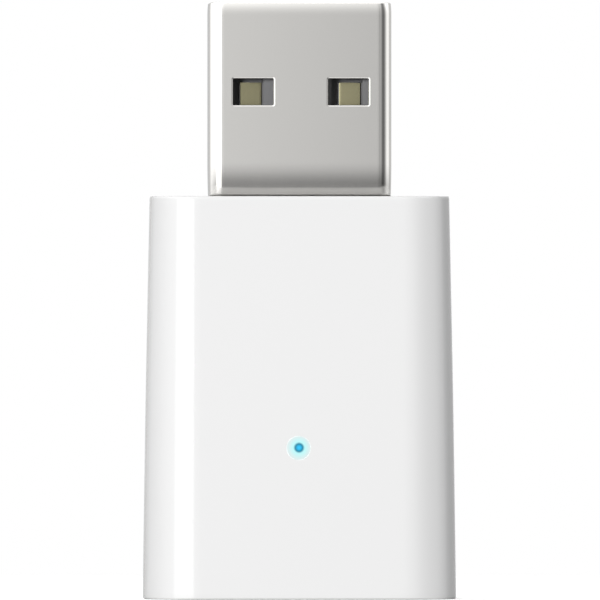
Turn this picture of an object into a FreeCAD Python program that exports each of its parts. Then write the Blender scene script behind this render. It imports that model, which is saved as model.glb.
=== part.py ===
import FreeCAD, Part
import math
import os
import re
import Sketcher

# A small radio repeater in a white two-shell housing with a USB-A plug on its top end.
# It stands on its base end with the plug up: X is its width, Y its depth with the front at -Y, Z its height.
# The origin is the middle of the base. All sizes are in millimetres.

HOUSING = {
    "shoulder": 3.83,
    "lower_draft": 0.804,
    "upper_draft": 1.174,
    "middle_corner": 3.35,
    "rear_room": 0.2,
    "end_edge_radius": 0.25,
    "wall": 1.2,
    "end_wall": 1.4,
    "lip_height": 0.8,
    "lip_thickness": 0.5,
    "lip_clearance": 0.06,
    "slot_clearance": 0.06,
    "seat_clearance": 0.03,
    "post_radius": 1.05,
    "post_side_margin": 0.35,
    "post_low_margin": 0.75,
    "pin_radius": 0.5,
    "pin_clearance": 0.05,
    "pin_length": 1.6,
    "rib_margin": 0.3,
    "rib_thickness": 0.8,
    "rib_height": 3.2,
    "saddle_width": 7.0,
    "saddle_height": 1.0,
    "saddle_drop": 2.4,
}

PLUG = {
    "plug_width": 12.0,
    "plug_depth": 4.5,
    "plug_length": 12.7,
    "plug_corner": 0.87,
    "sheet": 0.3,
    "lead_height": 0.8,
    "lead_inset": 0.16,
    "neck_height": 1.75,
    "neck_inset_front": 0.22,
    "neck_inset_side": 0.08,
    "window_x": 3.115,
    "window_drop": 5.87,
    "window_width": 2.64,
    "window_height": 1.73,
    "window_corner": 0.12,
    "seam_gap": 0.08,
    "leg_width": 1.2,
    "leg_drop": 3.6,
    "leg_proud": 0.15,
    "insulator_gap": 0.05,
    "block_rise": 3.0,
    "block_drop": 6.35,
    "block_proud": 0.2,
    "tongue_thickness": 1.9,
    "tongue_side_gap": 0.45,
    "tongue_recess": 0.5,
    "tongue_chamfer": 0.35,
    "outer_contact_x": 3.25,
    "inner_contact_x": 1.0,
    "contact_width": 1.4,
    "data_contact_width": 1.0,
    "contact_thickness": 0.25,
    "contact_bevel": 0.1,
    "contact_recess": 0.05,
    "channel_clearance": 0.12,
    "outer_tip_drop": 5.3,
    "inner_tip_drop": 6.3,
    "tip_gap": 0.35,
    "contact_bend_drop": 0.35,
    "contact_bend_radius": 0.15,
    "contact_foot_length": 1.3,
    "foot_gap": 0.13,
}

BOARD = {
    "board_gap": 0.05,
    "board_thickness": 1.0,
    "board_side_gap": 1.03,
    "board_end_gap": 0.4,
    "board_corner": 0.8,
    "leg_slot_clearance": 0.1,
    "solder_spread": 0.35,
    "solder_slope": 35.0,
    "copper": 0.07,
    "antenna_side_gap": 0.25,
    "antenna_margin": 0.5,
    "antenna_height": 4.0,
    "antenna_line": 0.5,
    "antenna_count": 4,
    "matching_gap": 1.8,
    "matching_side_gap": 0.7,
    "matching_spacing": 0.6,
    "light_x": -0.26,
    "light_row_gap": 0.9,
    "light_radius": 0.775,
    "light_clearance": 0.03,
    "light_flange_radius": 1.3,
    "light_flange_height": 0.5,
    "light_gap": 0.15,
    "radio_gap": 0.4,
    "can_height": 1.7,
    "can_sheet": 0.2,
    "can_margin": 0.1,
    "can_corner": 0.5,
    "can_bevel": 0.15,
    "chip_margin": 1.2,
    "crystal_gap": 1.5,
    "crystal_margin": 0.9,
    "can_side_gap": 0.45,
    "vent_radius": 0.25,
    "vent_pitch": 2.4,
    "vent_count": 3,
    "supply_gap": 0.12,
    "termination": 0.3,
    "termination_step": 0.03,
    "lead_width": 0.4,
    "lead_thickness": 0.15,
    "lead_pitch": 0.95,
    "lead_span": 2.8,
    "package_lift": 0.1,
    "package_chamfer": 0.2,
    "mark_radius": 0.25,
    "mark_depth": 0.1,
    "lid_inset": 0.2,
    "lid_height": 0.25,
    "led_length": 1.6,
    "led_width": 0.8,
    "led_height": 0.6,
    "led_lens_length": 1.0,
    "led_base_height": 0.25,
}

# Each part's length across, width up and height off the board
PART_SIZES = {
    "led_resistor": (1.6, 0.8, 0.45),
    "radio_chip": (4.0, 4.0, 0.85),
    "crystal": (2.0, 1.6, 0.6),
    "bypass_capacitor_1": (1.0, 0.5, 0.5),
    "bypass_capacitor_2": (1.0, 0.5, 0.5),
    "matching_coil": (1.0, 0.5, 0.5),
    "matching_capacitor": (1.0, 0.5, 0.5),
    "pull_up_resistor": (1.0, 0.5, 0.35),
    "voltage_regulator": (2.9, 1.6, 1.1),
    "output_capacitor": (2.0, 1.25, 1.25),
    "ferrite_bead": (1.6, 0.8, 0.8),
    "input_capacitor": (0.9, 1.6, 0.8),
    "surge_diode": (0.9, 1.3, 0.8),
}

# Places across the board that can be set by themselves
PLACES = {
    "led_resistor_x": -3.2,
    "pull_up_resistor_x": 3.2,
    "voltage_regulator_x": -2.2,
    "output_capacitor_x": 1.4,
    "ferrite_bead_x": 4.0,
    "input_capacitor_rise": 0.4,
    "surge_diode_drop": 2.2,
}

# Sizes and places that follow from the others. From the base up, the antenna, the matching parts, the light,
# the radio, the power supply and the plug's block stand in rows, and they set the housing's length.
DERIVED = {
    "board_low": "end_wall + board_end_gap",
    "antenna_z": "board_low + antenna_margin",
    "matching_z": "antenna_z + antenna_height + matching_gap + matching_coil_width / 2",
    "light_z": "matching_z + matching_coil_width / 2 + light_row_gap + led_width / 2",
    "radio_z": "light_z + led_width / 2 + radio_gap + can_width / 2",
    "supply_z": "radio_z + can_width / 2 + supply_gap + lead_span / 2",
    "block_low": "supply_z + lead_span / 2 + foot_gap + contact_foot_length + contact_bend_drop",
    "housing_length": "block_low + block_drop",
    "board_high": "housing_length - end_wall - board_end_gap",
    "block_high": "housing_length + block_rise",
    "mouth_z": "housing_length + plug_length",
    "leg_z": "housing_length - leg_drop",
    "tail_low": "block_low + block_proud",
    "tail_width": "plug_width - 2 * neck_inset_side",
    "tail_depth": "plug_depth - 2 * neck_inset_front",
    "tongue_width": "plug_width - 2 * (sheet + tongue_side_gap)",
    "tongue_rear": "plug_depth / 2 - sheet - insulator_gap",
    "tongue_front": "tongue_rear - tongue_thickness",
    "contact_front": "tongue_front + contact_recess",
    "board_front": "tail_depth / 2 + board_gap",
    "board_rear": "board_front + board_thickness",
    "middle_width": "plug_width + 2 * shoulder + housing_length * tan(upper_draft)",
    "middle_depth": "2 * (board_rear + rear_room + wall) + housing_length * tan(upper_draft)",
    "board_width": "plug_width + 2 * (shoulder - wall - board_side_gap)",
    "post_x": "board_width / 2 - post_side_margin - post_radius",
    "post_z": "board_low + post_low_margin + post_radius",
    "rib_x": "board_width / 2 - rib_margin - rib_thickness / 2",
    "antenna_x": "post_radius + antenna_side_gap - post_x",
    "antenna_period": "(-2 * antenna_x - antenna_line) / antenna_count",
    "matching_coil_x": "antenna_x + antenna_line + matching_side_gap + matching_coil_length / 2",
    "matching_step": "(matching_coil_length + matching_capacitor_length) / 2 + matching_spacing",
    "can_length": "2 * can_sheet + chip_margin + radio_chip_length"
    " + crystal_gap + crystal_length + crystal_margin",
    "can_width": "radio_chip_width + 2 * (can_sheet + can_margin)",
    "radio_chip_x": "can_sheet + chip_margin + radio_chip_length / 2 - can_length / 2",
    "crystal_x": "can_length / 2 - can_sheet - crystal_margin - crystal_length / 2",
    "bypass_rise": "radio_chip_width / 2 - bypass_capacitor_1_width",
    "beside_can": "can_length / 2 + can_side_gap",
}

# Each part on the board: its middle across and up
BOARD_PLACES = {
    "led_resistor": ("led_resistor_x", "light_z"),
    "radio_chip": ("radio_chip_x", "radio_z"),
    "crystal": ("crystal_x", "radio_z"),
    "bypass_capacitor_1": ("crystal_x", "radio_z + bypass_rise"),
    "bypass_capacitor_2": ("crystal_x", "radio_z - bypass_rise"),
    "matching_coil": ("matching_coil_x", "matching_z"),
    "matching_capacitor": ("matching_coil_x + matching_step", "matching_z"),
    "pull_up_resistor": ("pull_up_resistor_x", "light_z"),
    "voltage_regulator": ("voltage_regulator_x", "supply_z"),
    "output_capacitor": ("output_capacitor_x", "supply_z"),
    "ferrite_bead": ("ferrite_bead_x", "supply_z"),
    "input_capacitor": ("-(beside_can + input_capacitor_length / 2)", "radio_z + input_capacitor_rise"),
    "surge_diode": ("-(beside_can + surge_diode_length / 2)", "radio_z - surge_diode_drop"),
}

PLACE_TOLERANCE = 1e-4  # mm, within which an edge counts as lying at a place


def lower(kind, height):
    """The housing's outer width or depth at a height in its lower half, by the draft of its walls."""
    return f"(middle_{kind} + (housing_length - 2 * ({height})) * tan(lower_draft))"


def upper(kind, height):
    """The same in its upper half."""
    return f"(middle_{kind} - (2 * ({height}) - housing_length) * tan(upper_draft))"


doc = FreeCAD.newDocument("usb_repeater")
sheet = doc.addObject("Spreadsheet::Sheet", "sizes")
sizes = {**HOUSING, **PLUG, **BOARD, **PLACES}
for node, row in PART_SIZES.items():
    sizes.update({f"{node}_{size}": value for size, value in zip(("length", "width", "height"), row)})
for line, (alias, value) in enumerate(sizes.items(), start=1):
    sheet.set(f"A{line}", alias)
    sheet.set(f"B{line}", str(value))
    sheet.setAlias(f"B{line}", alias)
doc.recompute()
ALIAS = re.compile(r"\b(" + "|".join(sizes) + r")\b")
FOLLOWING = re.compile(r"\b(" + "|".join(DERIVED) + r")\b")


def formula(text):
    """Puts derived sizes' formulas in place of their names, and spreadsheet cells in place of the rest."""
    while FOLLOWING.search(text):
        text = FOLLOWING.sub(lambda found: f"({DERIVED[found.group(1)]})", text)
    return ALIAS.sub(r"sizes.\1", text)


def number(text):
    """What a formula comes to now."""
    return float(sheet.evalExpression(formula(text)))


def bind(thing, path, text):
    thing.setExpression(path, formula(text))


def new_body(name):
    body = doc.addObject("PartDesign::Body", name)
    body.Label = name
    return body


def new_board_body(name, part_x, part_z):
    """A body drawn flat, as seen from the front, and stood on the front of the circuit board."""
    body = new_body(name)
    body.Placement.Rotation = FreeCAD.Rotation(FreeCAD.Vector(1, 0, 0), 90)
    bind(body, "Placement.Base.x", part_x)
    bind(body, "Placement.Base.y", "board_front")
    bind(body, "Placement.Base.z", part_z)
    return body


def new_sketch(body, role, offset="0"):
    """A sketch on one of the body's origin planes. XY faces +Z, XZ faces -Y and YZ faces +X."""
    sketch = body.newObject("Sketcher::SketchObject", f"{body.Name}_sketch")
    plane = next(item for item in body.Origin.OriginFeatures if item.Role == role)
    sketch.AttachmentSupport = [(plane, "")]
    sketch.MapMode = "FlatFace"
    bind(sketch, "AttachmentOffset.Base.z", offset)
    return sketch


def hold(sketch, kind, *where, size):
    """Adds a constraint whose size is a formula."""
    index = sketch.addConstraint(Sketcher.Constraint(kind, *where, number(size)))
    bind(sketch, f"Constraints[{index}]", size)


def polygon(sketch, corners):
    """A closed ring of straight lines, each corner held from the sketch's origin."""
    first = sketch.GeometryCount
    spots = [FreeCAD.Vector(number(across), number(up), 0) for across, up in corners]
    for spot, following in zip(spots, spots[1:] + spots[:1]):
        sketch.addGeometry(Part.LineSegment(spot, following), False)
    for index, (across, up) in enumerate(corners):
        following = first + (index + 1) % len(corners)
        sketch.addConstraint(Sketcher.Constraint("Coincident", first + index, 2, following, 1))
        hold(sketch, "DistanceX", -1, 1, first + index, 1, size=across)
        hold(sketch, "DistanceY", -1, 1, first + index, 1, size=up)


def rectangle(sketch, left, right, low, high):
    polygon(sketch, ((left, low), (right, low), (right, high), (left, high)))


def circle(sketch, across, up, radius):
    centre = FreeCAD.Vector(number(across), number(up), 0)
    ring = sketch.addGeometry(Part.Circle(centre, FreeCAD.Vector(0, 0, 1), number(radius)), False)
    hold(sketch, "DistanceX", -1, 1, ring, 3, size=across)
    hold(sketch, "DistanceY", -1, 1, ring, 3, size=up)
    hold(sketch, "Radius", ring, size=radius)


def rounded(sketch, width, height, radius, across="0", up="0"):
    """A rectangle with round corners: bottom, right, top and left lines, and the arc after each of them."""
    first = sketch.GeometryCount
    half_w, half_h, arc = number(f"({width}) / 2"), number(f"({height}) / 2"), number(radius)
    middle_x, middle_y = number(across), number(up)
    turns = ((1, -1), (1, 1), (-1, 1), (-1, -1))
    spots = []
    for side_x, side_y in turns:
        centre_x = middle_x + side_x * (half_w - arc)
        centre_y = middle_y + side_y * (half_h - arc)
        spots.append(FreeCAD.Vector(centre_x, centre_y, 0))
    drops = ((0, -arc), (arc, 0), (0, arc), (-arc, 0))
    for index, centre in enumerate(spots):
        before = spots[index - 1]
        across_by, up_by = drops[index]
        step = FreeCAD.Vector(across_by, up_by, 0)
        sketch.addGeometry(Part.LineSegment(before + step, centre + step), False)
        ring = Part.Circle(centre, FreeCAD.Vector(0, 0, 1), arc)
        start = (index - 1) * math.pi / 2
        sketch.addGeometry(Part.ArcOfCircle(ring, start, start + math.pi / 2), False)
    for side in range(4):
        line, bend, following = first + 2 * side, first + 2 * side + 1, first + (2 * side + 2) % 8
        sketch.addConstraint(Sketcher.Constraint("Tangent", line, 2, bend, 1))
        sketch.addConstraint(Sketcher.Constraint("Tangent", bend, 2, following, 1))
        sketch.addConstraint(Sketcher.Constraint("Vertical" if side % 2 else "Horizontal", line))
        if side:
            sketch.addConstraint(Sketcher.Constraint("Equal", first + 1, bend))
    hold(sketch, "Radius", first + 1, size=radius)
    hold(sketch, "DistanceX", -1, 1, first + 2, 1, size=f"({across}) + ({width}) / 2")
    hold(sketch, "DistanceX", -1, 1, first + 6, 1, size=f"({across}) - ({width}) / 2")
    hold(sketch, "DistanceY", -1, 1, first + 4, 1, size=f"({up}) + ({height}) / 2")
    hold(sketch, "DistanceY", -1, 1, first, 1, size=f"({up}) - ({height}) / 2")


def settle(body, feature, volume, cuts):
    """Recomputes, and stops where a feature that should add or cut has changed nothing."""
    doc.recompute()
    change = feature.Shape.Volume - volume
    if (change >= 0) if cuts else (change <= 0):
        raise RuntimeError(f"{feature.Name} in {body.Label} changes nothing")
    return feature


def extrude(body, sketch, length, cut=False, forward=True, symmetric=False, taper="0"):
    """Adds or cuts a prism from a sketch, along its facing or against it."""
    volume = body.Shape.Volume if body.Tip else 0
    feature = body.newObject("PartDesign::Pocket" if cut else "PartDesign::Pad", f"{body.Name}_prism")
    feature.Profile = sketch
    bind(feature, "Length", length)
    bind(feature, "TaperAngle", taper)
    feature.Reversed = forward == cut
    if symmetric:
        feature.SideType = "Symmetric"
    return settle(body, feature, volume, cut)


def loft(body, stations, cut=False):
    """Adds or cuts a loft through rounded sections, each given as (height, width, depth, corner)."""
    volume = body.Shape.Volume if body.Tip else 0
    sections = []
    for height, width, depth, corner in stations:
        sketch = new_sketch(body, "XY_Plane", height)
        rounded(sketch, width, depth, corner)
        sections.append(sketch)
    doc.recompute()
    kind = "PartDesign::SubtractiveLoft" if cut else "PartDesign::AdditiveLoft"
    feature = body.newObject(kind, f"{body.Name}_loft")
    feature.Profile = sections[0]
    feature.Sections = sections[1:]
    feature.Ruled = True
    return settle(body, feature, volume, cut)


def dress(body, kind, size, wanted):
    """Fillets or chamfers the edges of the body's last feature that wanted picks."""
    base = body.Tip
    names = [f"Edge{index}" for index, edge in enumerate(base.Shape.Edges, start=1) if wanted(edge)]
    if not names:
        raise RuntimeError(f"no edge to dress on {body.Label}")
    feature = body.newObject(f"PartDesign::{kind}", f"{body.Name}_{kind.lower()}")
    feature.Base = (base, names)
    bind(feature, "Radius" if kind == "Fillet" else "Size", size)
    doc.recompute()
    return feature


def near(value, *goals):
    return any(abs(value - goal) < PLACE_TOLERANCE for goal in goals)


def flat_at(edge, axis, *goals):
    """True where a whole edge lies at one of the goals along X, Y or Z."""
    box = edge.BoundBox
    low, high = getattr(box, f"{axis}Min"), getattr(box, f"{axis}Max")
    return high - low < PLACE_TOLERANCE and near((low + high) / 2, *goals)


# Housing


def cavity_line(grow):
    """The housing's inner outline at the parting plane, seen from the front and grown by a formula."""
    low, middle, high = "end_wall", "housing_length / 2", "(housing_length - end_wall)"
    half_low = f"({lower('width', low)} / 2 - wall + ({grow}))"
    half_middle = f"(middle_width / 2 - wall + ({grow}))"
    half_high = f"({upper('width', high)} / 2 - wall + ({grow}))"
    right = (
        (half_low, f"{low} - ({grow})"),
        (half_middle, middle),
        (half_high, f"{high} + ({grow})"),
    )
    left = tuple((f"-{across}", up) for across, up in reversed(right))
    return right + left


def drafted_form(body, inward, reach, cut):
    """The housing's outer or inner form: its middle section, drawn out to both ends with the walls' draft."""
    for forward, draft in ((True, "-upper_draft"), (False, "lower_draft")):
        section = new_sketch(body, "XY_Plane", "housing_length / 2")
        width, depth = (f"middle_{kind} - 2 * ({inward})" for kind in ("width", "depth"))
        rounded(section, width, depth, f"middle_corner - ({inward})")
        extrude(body, section, reach, cut=cut, forward=forward, taper=draft)


def cover_blank(name, front):
    """Half of the hollow housing: drafted outside and inside, rounded at both ends and split at Y = 0."""
    body = new_body(name)
    drafted_form(body, "0", "housing_length / 2", cut=False)
    top = number("housing_length")
    dress(body, "Fillet", "end_edge_radius", lambda edge: flat_at(edge, "Z", 0, top))
    drafted_form(body, "wall", "housing_length / 2 - end_wall", cut=True)
    halving = new_sketch(body, "XZ_Plane")
    rectangle(halving, "-middle_width", "middle_width", "-end_wall", "housing_length + end_wall")
    extrude(body, halving, "middle_depth", cut=True, forward=not front)
    return body


def plug_slot(body):
    slot = new_sketch(body, "XY_Plane", "housing_length")
    rounded(slot, "tail_width + 2 * slot_clearance", "tail_depth + 2 * slot_clearance", "plug_corner")
    extrude(body, slot, "2 * end_wall", cut=True, forward=False)


def front_cover():
    """The front shell: groove in its rim, hole for the light, two posts with sockets, ribs and a saddle."""
    body = cover_blank("front_cover", front=True)
    groove = new_sketch(body, "XZ_Plane")
    polygon(groove, cavity_line("lip_thickness + lip_clearance"))
    extrude(body, groove, "lip_height", cut=True)
    plug_slot(body)
    hole = new_sketch(body, "XZ_Plane")
    circle(hole, "light_x", "light_z", "light_radius + light_clearance")
    extrude(body, hole, "middle_depth", cut=True)
    seat = "(board_front - seat_clearance)"
    into_wall = f"{seat} + {lower('depth', 'post_z')} / 2 - wall / 2"
    posts = new_sketch(body, "XZ_Plane", f"-{seat}")
    circle(posts, "post_x", "post_z", "post_radius")
    circle(posts, "-post_x", "post_z", "post_radius")
    extrude(body, posts, into_wall)
    sockets = new_sketch(body, "XZ_Plane", f"-{seat}")
    circle(sockets, "post_x", "post_z", "pin_radius + pin_clearance")
    circle(sockets, "-post_x", "post_z", "pin_radius + pin_clearance")
    extrude(body, sockets, "pin_length + pin_clearance", cut=True)
    ribs = new_sketch(body, "XZ_Plane", f"-{seat}")
    for side in ("", "-"):
        ends = sorted((f"{side}(rib_x {sign} rib_thickness / 2)" for sign in "+-"), key=number)
        rectangle(ribs, *ends, "supply_z - rib_height / 2", "supply_z + rib_height / 2")
    extrude(body, ribs, f"{seat} + {upper('depth', 'supply_z')} / 2 - wall / 2")
    saddle_z = "(housing_length - saddle_drop)"
    saddle = new_sketch(body, "XZ_Plane", "tail_depth / 2 + slot_clearance")
    rectangle(
        saddle,
        "-saddle_width / 2",
        "saddle_width / 2",
        f"{saddle_z} - saddle_height / 2",
        f"{saddle_z} + saddle_height / 2",
    )
    reach = f"({upper('depth', saddle_z)} - tail_depth) / 2 - slot_clearance - wall / 2"
    extrude(body, saddle, reach)
    return body


def rear_cover():
    """The rear shell: a lip for the front shell's groove, rails and pinned shoulders under the board."""
    body = cover_blank("rear_cover", front=False)
    lip = new_sketch(body, "XZ_Plane")
    polygon(lip, cavity_line("lip_thickness"))
    polygon(lip, cavity_line("0"))
    extrude(body, lip, "lip_height - lip_clearance")
    plug_slot(body)
    seat = "(board_rear + seat_clearance)"
    shoulders = new_sketch(body, "XZ_Plane", f"-{seat}")
    circle(shoulders, "post_x", "post_z", "post_radius")
    circle(shoulders, "-post_x", "post_z", "post_radius")
    extrude(body, shoulders, f"{lower('depth', 'post_z')} / 2 - wall / 2 - {seat}", forward=False)
    rails = new_sketch(body, "XZ_Plane", f"-{seat}")
    for side in ("", "-"):
        ends = sorted((f"{side}(rib_x {sign} rib_thickness / 2)" for sign in "+-"), key=number)
        rectangle(rails, *ends, "supply_z - rib_height / 2", "supply_z + rib_height / 2")
    extrude(body, rails, f"{upper('depth', 'supply_z')} / 2 - wall / 2 - {seat}", forward=False)
    pins = new_sketch(body, "XZ_Plane", f"-{seat}")
    circle(pins, "post_x", "post_z", "pin_radius")
    circle(pins, "-post_x", "post_z", "pin_radius")
    extrude(body, pins, "board_thickness + 2 * seat_clearance + pin_length - pin_clearance")
    return body


def light_pipe():
    """A clear pin turned about the light's axis, with a flange that seats behind the front wall."""
    body = new_body("light_pipe")
    bind(body, "Placement.Base.x", "light_x")
    bind(body, "Placement.Base.z", "light_z")
    front = f"(-{lower('depth', 'light_z')} / 2)"
    flange = f"({front} + wall + seat_clearance)"
    flange_end = f"({flange} + light_flange_height)"
    end = "(board_front - led_height - light_gap)"
    profile = new_sketch(body, "XY_Plane")
    outline = (
        ("0", front),
        ("light_radius", front),
        ("light_radius", flange),
        ("light_flange_radius", flange),
        ("light_flange_radius", flange_end),
        ("light_radius", flange_end),
        ("light_radius", end),
        ("0", end),
    )
    polygon(profile, outline)
    turn = body.newObject("PartDesign::Revolution", "light_pipe_turn")
    turn.Profile = profile
    turn.ReferenceAxis = (profile, ["V_Axis"])
    turn.Angle = 360
    return body


# Plug


def plug_section(height, drawn_in, inward="0"):
    """A section of the plug's shell, drawn in by a share of the neck's insets and moved inward."""
    width = f"plug_width - 2 * ({drawn_in}) * neck_inset_side - 2 * ({inward})"
    depth = f"plug_depth - 2 * ({drawn_in}) * neck_inset_front - 2 * ({inward})"
    return height, width, depth, f"plug_corner - ({inward})"


def mouth_section(height, drawn_in, inward="0"):
    width = f"plug_width - 2 * ({drawn_in}) * lead_inset - 2 * ({inward})"
    depth = f"plug_depth - 2 * ({drawn_in}) * lead_inset - 2 * ({inward})"
    return height, width, depth, f"plug_corner - ({inward})"


def shell_form(body, inward, cut):
    """The shell's outer or inner form: tail, neck whose inset grows as a square, barrel and curled mouth."""
    root, neck_top, lead_low = "housing_length", "(housing_length + neck_height)", "(mouth_z - lead_height)"
    tail = new_sketch(body, "XY_Plane", root)
    rounded(tail, *plug_section(root, "1", inward)[1:])
    extrude(body, tail, "housing_length - tail_low", cut=cut, forward=False)
    neck = [(f"{root} + neck_height * {step} / 3", f"(1 - {step} / 3) ^ 2") for step in range(4)]
    loft(body, [plug_section(height, share, inward) for height, share in neck], cut)
    barrel = new_sketch(body, "XY_Plane", neck_top)
    rounded(barrel, *plug_section(neck_top, "0", inward)[1:])
    extrude(body, barrel, "plug_length - neck_height - lead_height", cut=cut)
    lead = [(f"{lead_low} + lead_height * {step} / 2", f"({step} / 2) ^ 2") for step in range(3)]
    loft(body, [mouth_section(height, share, inward) for height, share in lead], cut)


def usb_shell():
    """One folded sheet: two windows through each broad side, a butt seam at the rear and two board legs."""
    body = new_body("usb_shell")
    shell_form(body, "0", cut=False)
    shell_form(body, "sheet", cut=True)
    window_z = "mouth_z - window_drop"
    windows = new_sketch(body, "XZ_Plane")
    rounded(windows, "window_width", "window_height", "window_corner", "window_x", window_z)
    rounded(windows, "window_width", "window_height", "window_corner", "-window_x", window_z)
    extrude(body, windows, "2 * plug_depth", cut=True, symmetric=True)
    seam = new_sketch(body, "XZ_Plane")
    rectangle(seam, "-seam_gap / 2", "seam_gap / 2", "tail_low - sheet", "mouth_z + sheet")
    extrude(body, seam, "plug_depth", cut=True, forward=False)
    for inner_x in ("tail_width / 2 - sheet", "-tail_width / 2"):
        leg = new_sketch(body, "YZ_Plane", inner_x)
        rectangle(leg, "0", "board_rear + leg_proud", "leg_z - leg_width / 2", "leg_z + leg_width / 2")
        extrude(body, leg, "sheet")
    return body


def contact_places():
    """Each contact's name, its place across, its width and how far its tip stops below the mouth."""
    outer, inner = ("contact_width", "outer_tip_drop"), ("data_contact_width", "inner_tip_drop")
    return (
        ("usb_contact_power", "-outer_contact_x", *outer),
        ("usb_contact_data_minus", "-inner_contact_x", *inner),
        ("usb_contact_data_plus", "inner_contact_x", *inner),
        ("usb_contact_ground", "outer_contact_x", *outer),
    )


def usb_insulator():
    """The moulded block in the shell's tail, and the tongue with a channel for each contact."""
    body = new_body("usb_insulator")
    block = new_sketch(body, "XY_Plane", "block_low")
    less = "2 * (sheet + insulator_gap)"
    rounded(block, f"tail_width - {less}", f"tail_depth - {less}", "plug_corner - sheet")
    extrude(body, block, "block_high - block_low")
    tongue = new_sketch(body, "XY_Plane", "block_high")
    rectangle(tongue, "-tongue_width / 2", "tongue_width / 2", "tongue_front", "tongue_rear")
    extrude(body, tongue, "mouth_z - tongue_recess - block_high")
    tip_z = number("mouth_z - tongue_recess")
    dress(body, "Chamfer", "tongue_chamfer", lambda edge: flat_at(edge, "Z", tip_z))
    bottom = "contact_front + contact_thickness + seat_clearance"
    for drop in ("outer_tip_drop", "inner_tip_drop"):
        top = f"mouth_z - {drop} + tip_gap"
        channels = new_sketch(body, "XY_Plane", top)
        for _, across, width, tip_drop in contact_places():
            if tip_drop == drop:
                half = f"({width} / 2 + channel_clearance)"
                rectangle(channels, f"{across} - {half}", f"{across} + {half}", "tongue_front", bottom)
        extrude(body, channels, f"{top} - block_low + sheet", cut=True, forward=False)
    return body


def usb_contact(name, across, width, tip_drop):
    """A bent strip: a blade up the tongue, a step back to the board and a foot that lies on it.

    Its tip is bevelled, and so are its two long edges in front.
    """
    body = new_body(name)
    bind(body, "Placement.Base.x", across)
    bend = "(block_low - contact_bend_drop)"
    rear = "(contact_front + contact_thickness)"
    foot_front = "(board_front - contact_thickness)"
    tip, foot_end = f"(mouth_z - {tip_drop})", f"({bend} - contact_foot_length)"
    profile = new_sketch(body, "YZ_Plane")
    outline = (
        (rear, tip),
        (rear, bend),
        ("board_front", bend),
        ("board_front", foot_end),
        (foot_front, foot_end),
        (foot_front, f"{bend} - contact_thickness"),
        ("contact_front", f"{bend} - contact_thickness"),
        ("contact_front", tip),
    )
    polygon(profile, outline)
    extrude(body, profile, width, symmetric=True)
    inner = ((rear, bend), (foot_front, f"{bend} - contact_thickness"))
    outer = (("board_front", bend), ("contact_front", f"{bend} - contact_thickness"))
    bends = ((inner, "contact_bend_radius"), (outer, "contact_bend_radius + contact_thickness"))
    for corners, radius in bends:
        spots = [(number(depth), number(up)) for depth, up in corners]
        dress(
            body,
            "Fillet",
            radius,
            lambda edge: any(flat_at(edge, "Y", depth) and flat_at(edge, "Z", up) for depth, up in spots),
        )
    tip_front, tip_z = number("contact_front"), number(tip)
    dress(
        body,
        "Chamfer",
        "contact_thickness / 2",
        lambda edge: flat_at(edge, "Y", tip_front) and flat_at(edge, "Z", tip_z),
    )
    sides = (number(f"-{width} / 2"), number(f"{width} / 2"))
    dress(
        body,
        "Chamfer",
        "contact_bevel",
        lambda edge: flat_at(edge, "Y", tip_front) and any(flat_at(edge, "X", side) for side in sides),
    )
    return body


# Board


def circuit_board():
    body = new_body("circuit_board")
    blank = new_sketch(body, "XZ_Plane", "-board_front")
    middle = "(board_low + board_high) / 2"
    rounded(blank, "board_width", "board_high - board_low", "board_corner", up=middle)
    extrude(body, blank, "board_thickness", forward=False)
    holes = new_sketch(body, "XZ_Plane", "-board_front")
    inner, outer = "(tail_width / 2 - sheet - leg_slot_clearance)", "(tail_width / 2 + leg_slot_clearance)"
    low, high = "leg_z - leg_width / 2 - leg_slot_clearance", "leg_z + leg_width / 2 + leg_slot_clearance"
    rectangle(holes, inner, outer, low, high)
    rectangle(holes, f"-{outer}", f"-{inner}", low, high)
    circle(holes, "post_x", "post_z", "pin_radius + pin_clearance")
    circle(holes, "-post_x", "post_z", "pin_radius + pin_clearance")
    extrude(body, holes, "2 * board_thickness", cut=True, forward=False)
    return body


def tab_solder(name, inner, outer):
    """A sloped collar of solder round a leg, on the rear of the board."""
    body = new_body(name)
    low, high = "leg_z - leg_width / 2", "leg_z + leg_width / 2"
    collar = new_sketch(body, "XZ_Plane", "-board_rear")
    spread = "solder_spread"
    rectangle(collar, f"{inner} - {spread}", f"{outer} + {spread}", f"{low} - {spread}", f"{high} + {spread}")
    extrude(body, collar, "leg_proud", forward=False, taper="-solder_slope")
    hole = new_sketch(body, "XZ_Plane", "-board_rear")
    rectangle(hole, inner, outer, low, high)
    extrude(body, hole, "2 * leg_proud", cut=True, forward=False)
    return body


def antenna_trace():
    """A printed meander: a square wave repeated across the board, and a feed up to the matching parts."""
    body = new_board_body("antenna_trace", "antenna_x", "antenna_z")
    half, line, height = "antenna_period / 2", "antenna_line", "antenna_height"
    wave = new_sketch(body, "XY_Plane")
    outline = (
        ("0", "0"),
        ("0", height),
        (f"{half} + {line}", height),
        (f"{half} + {line}", line),
        (f"antenna_period + {line}", line),
        (f"antenna_period + {line}", "0"),
        (half, "0"),
        (half, f"{height} - {line}"),
        (line, f"{height} - {line}"),
        (line, "0"),
    )
    polygon(wave, outline)
    strip = extrude(body, wave, "copper")
    row = body.newObject("PartDesign::LinearPattern", "antenna_row")
    row.Originals = [strip]
    row.Direction = (wave, ["H_Axis"])
    bind(row, "Length", "antenna_period * (antenna_count - 1)")
    bind(row, "Occurrences", "antenna_count")
    body.Tip = row
    doc.recompute()
    feed = new_sketch(body, "XY_Plane")
    rectangle(feed, "0", line, f"{height} - {line}", "matching_z - antenna_z")
    extrude(body, feed, "copper")
    return body


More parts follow.
